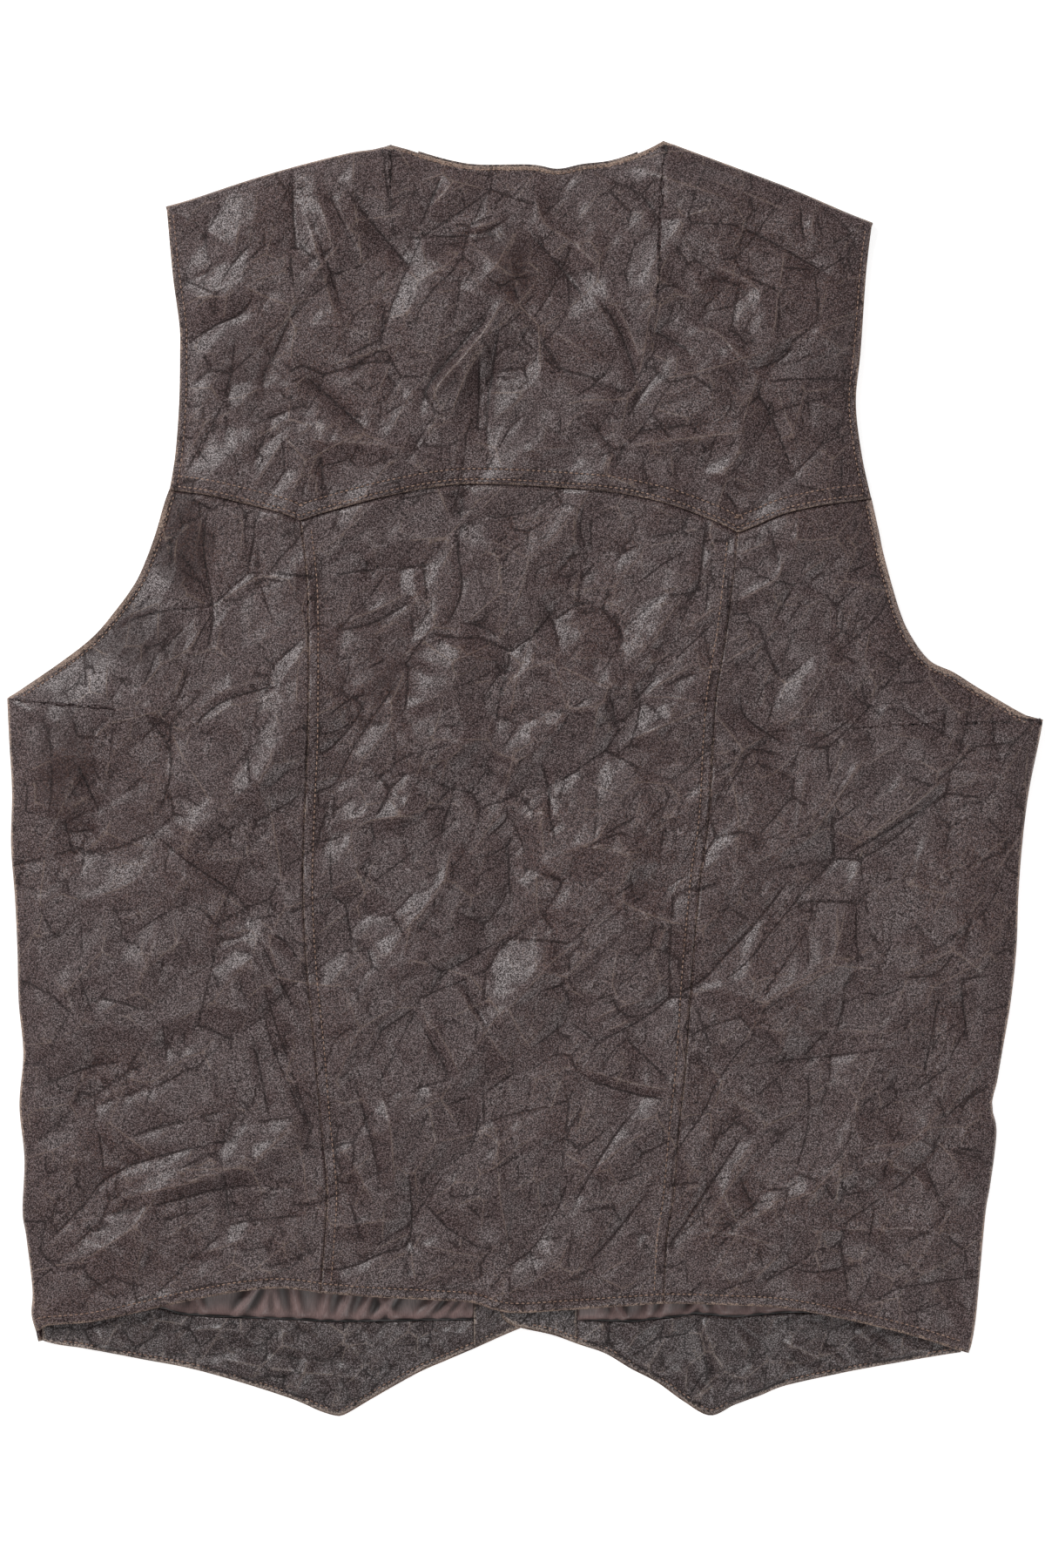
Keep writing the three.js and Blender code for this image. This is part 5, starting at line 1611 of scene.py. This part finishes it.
def inside_piece(side, x1, x2, bottom_y, top_y, rows, wall, relief):
    """A piece that lies on a front, between two uprights, with its own relief."""
    x1, x2 = sorted((x1, x2))

    def line(y):
        return lambda u: np.stack([x1 + u * (x2 - x1), y(x1 + u * (x2 - x1))], axis=-1)

    def height(points):
        flat = over_front(side, points, wall)
        return flat + np.minimum(relief(points), INSIDE_ROOM - flat)

    bottom, top = line(bottom_y), line(top_y)
    ends = np.array([0.0, 1.0])
    uprights = [straight(low, high) for low, high in zip(bottom(ends), top(ends))]
    return cut_piece(*uprights, bottom, top, int((x2 - x1) / INSIDE_STEP), rows, height)


def lining_relief(points, top_y, side):
    """The satin rises from the facing's edge and falls in tucks that widen upwards."""
    x, y = points.T
    inside = np.maximum(0, y - top_y(x))
    from_end = (LINING_END - np.abs(x)) / LINING_END_FADE
    height = LINING_RISE * (1 - np.exp(-inside / 2)) * (1 - np.exp(-from_end).clip(0, 1))
    for tuck in LINING_TUCKS:
        if tuck.x * side < 0:
            continue
        middle = tuck.x + tuck.lean * inside / TUCK_LEAN
        spread = tuck.width * (TUCK_START + inside / TUCK_SPREAD)
        fold = np.abs(x - middle) / spread
        height += TUCK_HEIGHT * tuck.height * np.exp(-fold) * np.exp(-inside / TUCK_SPREAD)
    return height * smoothstep(*LINING_STARTS, inside)


def facing_relief(points, hem_y):
    creases = crease_height(points, FACING_CREASES) + crease_height(points, FACING_CRUMPLE)
    creases = FACING_RELIEF * creases + crumpled(points, FACING_FACETS)[0] + FACING_LIFT
    inset = points[:, 1] - hem_y(points[:, 0])
    return np.maximum(creases, FACING_FLOOR) * smoothstep(*FACING_SWELLS, inset)


def inside_of(side, word, hem, facing_top):
    """The grids of one side's hem facing, edge facing and lining."""
    hem_y, top_y = y_at(hem), y_at(facing_top)
    seam = side * FACING_SEAM
    beyond, before = seam + side * HALF_SEAM, seam - side * HALF_SEAM

    def low_y(x):
        return hem_y(x) + HEM_MARGIN

    def top_edge(x):
        return 0 * x + INSIDE_TOP_Y

    def facing(x1, x2, top, rows):
        relief = lambda points: facing_relief(points, hem_y)
        return inside_piece(side, x1, x2, low_y, top, rows, FACING_WALL, relief)

    return {
        f"hem_facing_{word}": facing(beyond, FACING_OUTER[word], top_y, FACING_ROWS["hem"]),
        f"edge_facing_{word}": facing(FACING_INNER[word], before, top_edge, FACING_ROWS["edge"]),
        f"front_lining_{word}": inside_piece(
            side, beyond, FACING_OUTER[word], lambda x: top_y(x) + SEAM_GAP, top_edge,
            FACING_ROWS["lining"], LINING_WALL, lambda points: lining_relief(points, top_y, side),
        ),
    }


for side, word, hem, facing_top in (
    (LEFT, "left", LEFT_FRONT_HEM, LEFT_FACING_TOP), (RIGHT, "right", RIGHT_FRONT_HEM, RIGHT_FACING_TOP)
):
    hem_groove = Crease(-GROOVE_DEPTH, 1, offset(hem, -side * FRONT_HEM_INSET)[COARSE])
    away = (*(EDGE_WORN, FACING_SEAM_WORN)[::-side], 2 * EDGE_WORN, UNWORN)
    for node, points in inside_of(side, word, hem, facing_top).items():
        worn = edge_gap(points, away)
        under = [f"front_{word}_shell"]
        if node.startswith("front_lining"):
            dress(node, points, LINING_WALL, SATIN, "lining", under, worn=worn)
        else:
            dress(
                node, points, FACING_WALL, FACING_LEATHER, "facing_leather", under, worn=worn,
                creases=FACING_CREASES + FACING_CRUMPLE + [hem_groove], sets=FACING_FACETS,
            )

# %% [markdown]
# ## The neck facing
# A narrow facing of the same dark leather lies under the yoke along the back of the neck. It
# follows the yoke's inner side and shows as a second edge.

# %% Cut the neck facing
NECK_FACING_DEPTH = 24
NECK_FACING_GAP = 0.7
NECK_SHARE = (0.1, 0.9)
NECK_FACING_STEPS = (70, 14)


def cut_neck_facing():
    start, end = NECK_SHARE
    deep = offset(NECK, -NECK_FACING_DEPTH)

    def line(edge):
        return lambda u: at(edge, start + u * (end - start))

    def height(points):
        return back_height(points) - SHELL_WALL - NECK_FACING_GAP

    uprights = [straight(at(deep, share), at(NECK, share)) for share in NECK_SHARE]
    return cut_piece(*uprights, line(deep), line(NECK), *NECK_FACING_STEPS, height)


dress(
    "neck_facing", cut_neck_facing(), FACING_WALL, FACING_LEATHER, "facing_leather", ["back_yoke_shell"]
)

# %% [markdown]
# ## Stitches
# The thread shows as short dashes that sink into the leather. Each stitch is one small
# stretched ball, set along its row at the real pitch and tilted with the leather under it.

# %% One mesh of stitches
PITCH = 2.8
STITCH = Vector((2.1, 0.75, 0.7))
STITCH_SHOWS = 0.28
STITCH_FACES = {"u_segments": 6, "v_segments": 4}


def sew(name, lines, start, end, height):
    """One mesh for the stitches of these lines, from one share to the other, on this height."""
    rows = [at(line, np.linspace(start, end, len(line))) for line in lines]
    bm = bmesh.new()
    sewn = 0
    for row in rows:
        length = float(np.linalg.norm(np.diff(row, axis=0), axis=1).sum())
        number = int(length / PITCH)
        shares = (np.arange(number) + 0.5) / number
        reach = STITCH.x / 2 / length
        places = [at(row, shares + step) for step in (-reach, 0, reach)]
        spots = [np.column_stack([place, height(place)]) for place in places]
        for back, middle, front in zip(*spots):
            turn = Vector(front - back).to_track_quat("X", "Z").to_matrix().to_4x4()
            lift = Vector(middle) + Vector((0, 0, STITCH_SHOWS))
            size = Matrix.Diagonal((*(STITCH / 2), 1))
            matrix = Matrix.Scale(MM, 4) @ Matrix.Translation(lift) @ turn @ size
            bmesh.ops.create_uvsphere(bm, **STITCH_FACES, radius=1, matrix=matrix)
        sewn += number
    mesh = mesh_of(bm, name)
    mesh.polygons.foreach_set("use_smooth", np.ones(len(mesh.polygons), bool))
    mesh.materials.append(THREAD)
    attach(placed(name, mesh), "root")
    print(name, sewn, "stitches")


# %% Sew the rows
def at_armholes(left, right):
    return [offset(left, -ARMHOLE_INSET), offset(right, ARMHOLE_INSET)]


def on_facing(side):
    return lambda points: over_front(side, points, FACING_WALL)


Row = namedtuple("Row", "name lines start end height")
LOW_ARMHOLES = at_armholes(LEFT_ARMHOLE_LOW, RIGHT_ARMHOLE_LOW)
HIGH_ARMHOLES = at_armholes(LEFT_ARMHOLE_HIGH, RIGHT_ARMHOLE_HIGH)
LEFT_HEM_ROW = offset(LEFT_FRONT_HEM, FRONT_HEM_INSET)
RIGHT_HEM_ROW = offset(RIGHT_FRONT_HEM, -FRONT_HEM_INSET)
for row in (
    Row("yoke_stitches", YOKE_ROWS, 0.01, 0.99, yoke_height),
    Row("seam_stitches", SEAM_ROWS, 0.015, 0.985, middle_height),
    Row("back_hem_stitches", [HEM_ROW], 0.012, 0.988, panel_height),
    Row("low_armhole_stitches", LOW_ARMHOLES, 0.05, 0.98, panel_height),
    Row("high_armhole_stitches", HIGH_ARMHOLES, 0.02, 0.97, yoke_height),
    Row("neck_stitches", [NECK_ROW], 0.04, 0.96, yoke_height),
    Row("left_front_hem_stitches", [LEFT_HEM_ROW], 0.05, 0.97, on_facing(LEFT)),
    Row("right_front_hem_stitches", [RIGHT_HEM_ROW], 0.03, 0.93, on_facing(RIGHT)),
):
    sew(*row)

# %% [markdown]
# ## Snaps
# The snap caps lie under the vest. The frame's own caps have the right shape, so they only get
# a finish.

# %% Finish the snaps
for node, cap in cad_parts.items():
    if node.startswith("snap_cap"):
        cap.data.materials.clear()
        cap.data.materials.append(SNAP_METAL)

# %% [markdown]
# ## Table, light and camera
# The vest lies on a white surface, photographed from straight above. The main soft light comes
# from the upper left, so that facets turned to it shine and those turned away are dark. A
# weaker one over the camera gives what lies flat its satin look, and the weakest, at the lower
# right, opens the shadows. The surface glows a little, as a lit studio table does.

# %% Table
TABLE_HALF = 3.0
TABLE_LEVEL = -0.4
TABLE_GLOW = 0.6
bm = bmesh.new()
bmesh.ops.create_grid(bm, x_segments=1, y_segments=1, size=TABLE_HALF)
table = placed("table", mesh_of(bm, "table"))
table.location.z = TABLE_LEVEL * MM
paper, tree, shader = new_material("white paper")
shader.inputs["Base Color"].default_value = (0.95, 0.95, 0.95, 1)
shader.inputs["Roughness"].default_value = 1.0
shader.inputs["Specular IOR Level"].default_value = 0.0
shader.inputs["Emission Color"].default_value = (1, 1, 1, 1)
shader.inputs["Emission Strength"].default_value = TABLE_GLOW
table.data.materials.append(paper)

# %% Light
WORLD_STRENGTH = 0.2
Lamp = namedtuple("Lamp", "name x y z width height watts")
LAMPS = [
    Lamp("over the camera", 0.2, -0.4, 4.5, 1.0, 1.0, 25),
    Lamp("upper left", -1.7, 1.45, 2.0, 1.5, 1.5, 60),
    Lamp("lower right", 1.6, -1.6, 1.5, 1.2, 1.2, 15),
]
for lamp in LAMPS:
    light = bpy.data.lights.new(lamp.name, "AREA")
    light.shape = "RECTANGLE"
    light.size, light.size_y = lamp.width, lamp.height
    light.energy = lamp.watts
    holder = placed(lamp.name, light)
    holder.location = (lamp.x, lamp.y, lamp.z)
    holder.rotation_mode = "QUATERNION"
    holder.rotation_quaternion = (-Vector(holder.location)).to_track_quat("-Z", "Y")
world = bpy.data.worlds.new("white room")
world.use_nodes = True
world.node_tree.nodes["Background"].inputs["Color"].default_value = (1, 1, 1, 1)
world.node_tree.nodes["Background"].inputs["Strength"].default_value = WORLD_STRENGTH
bpy.context.scene.world = world
bpy.context.scene.view_settings.view_transform = "Standard"

# %% Camera
MM_PER_PIXEL = 0.455
PHOTO_HEIGHT = 1800
SENSOR = 36
CAMERA_HEIGHT = 4.0
SEEN_LEVEL = 0.008
PICTURE_CENTRE = (-1.4, -3.0)
camera_data = bpy.data.cameras.new("camera")
camera_data.sensor_width = SENSOR
camera_data.lens = SENSOR * CAMERA_HEIGHT / (PHOTO_HEIGHT * MM_PER_PIXEL * MM)
camera = placed("camera", camera_data)
camera.location = (*(place * MM for place in PICTURE_CENTRE), CAMERA_HEIGHT + SEEN_LEVEL)
bpy.context.scene.camera = camera
print("lens", round(camera_data.lens, 1), "mm")
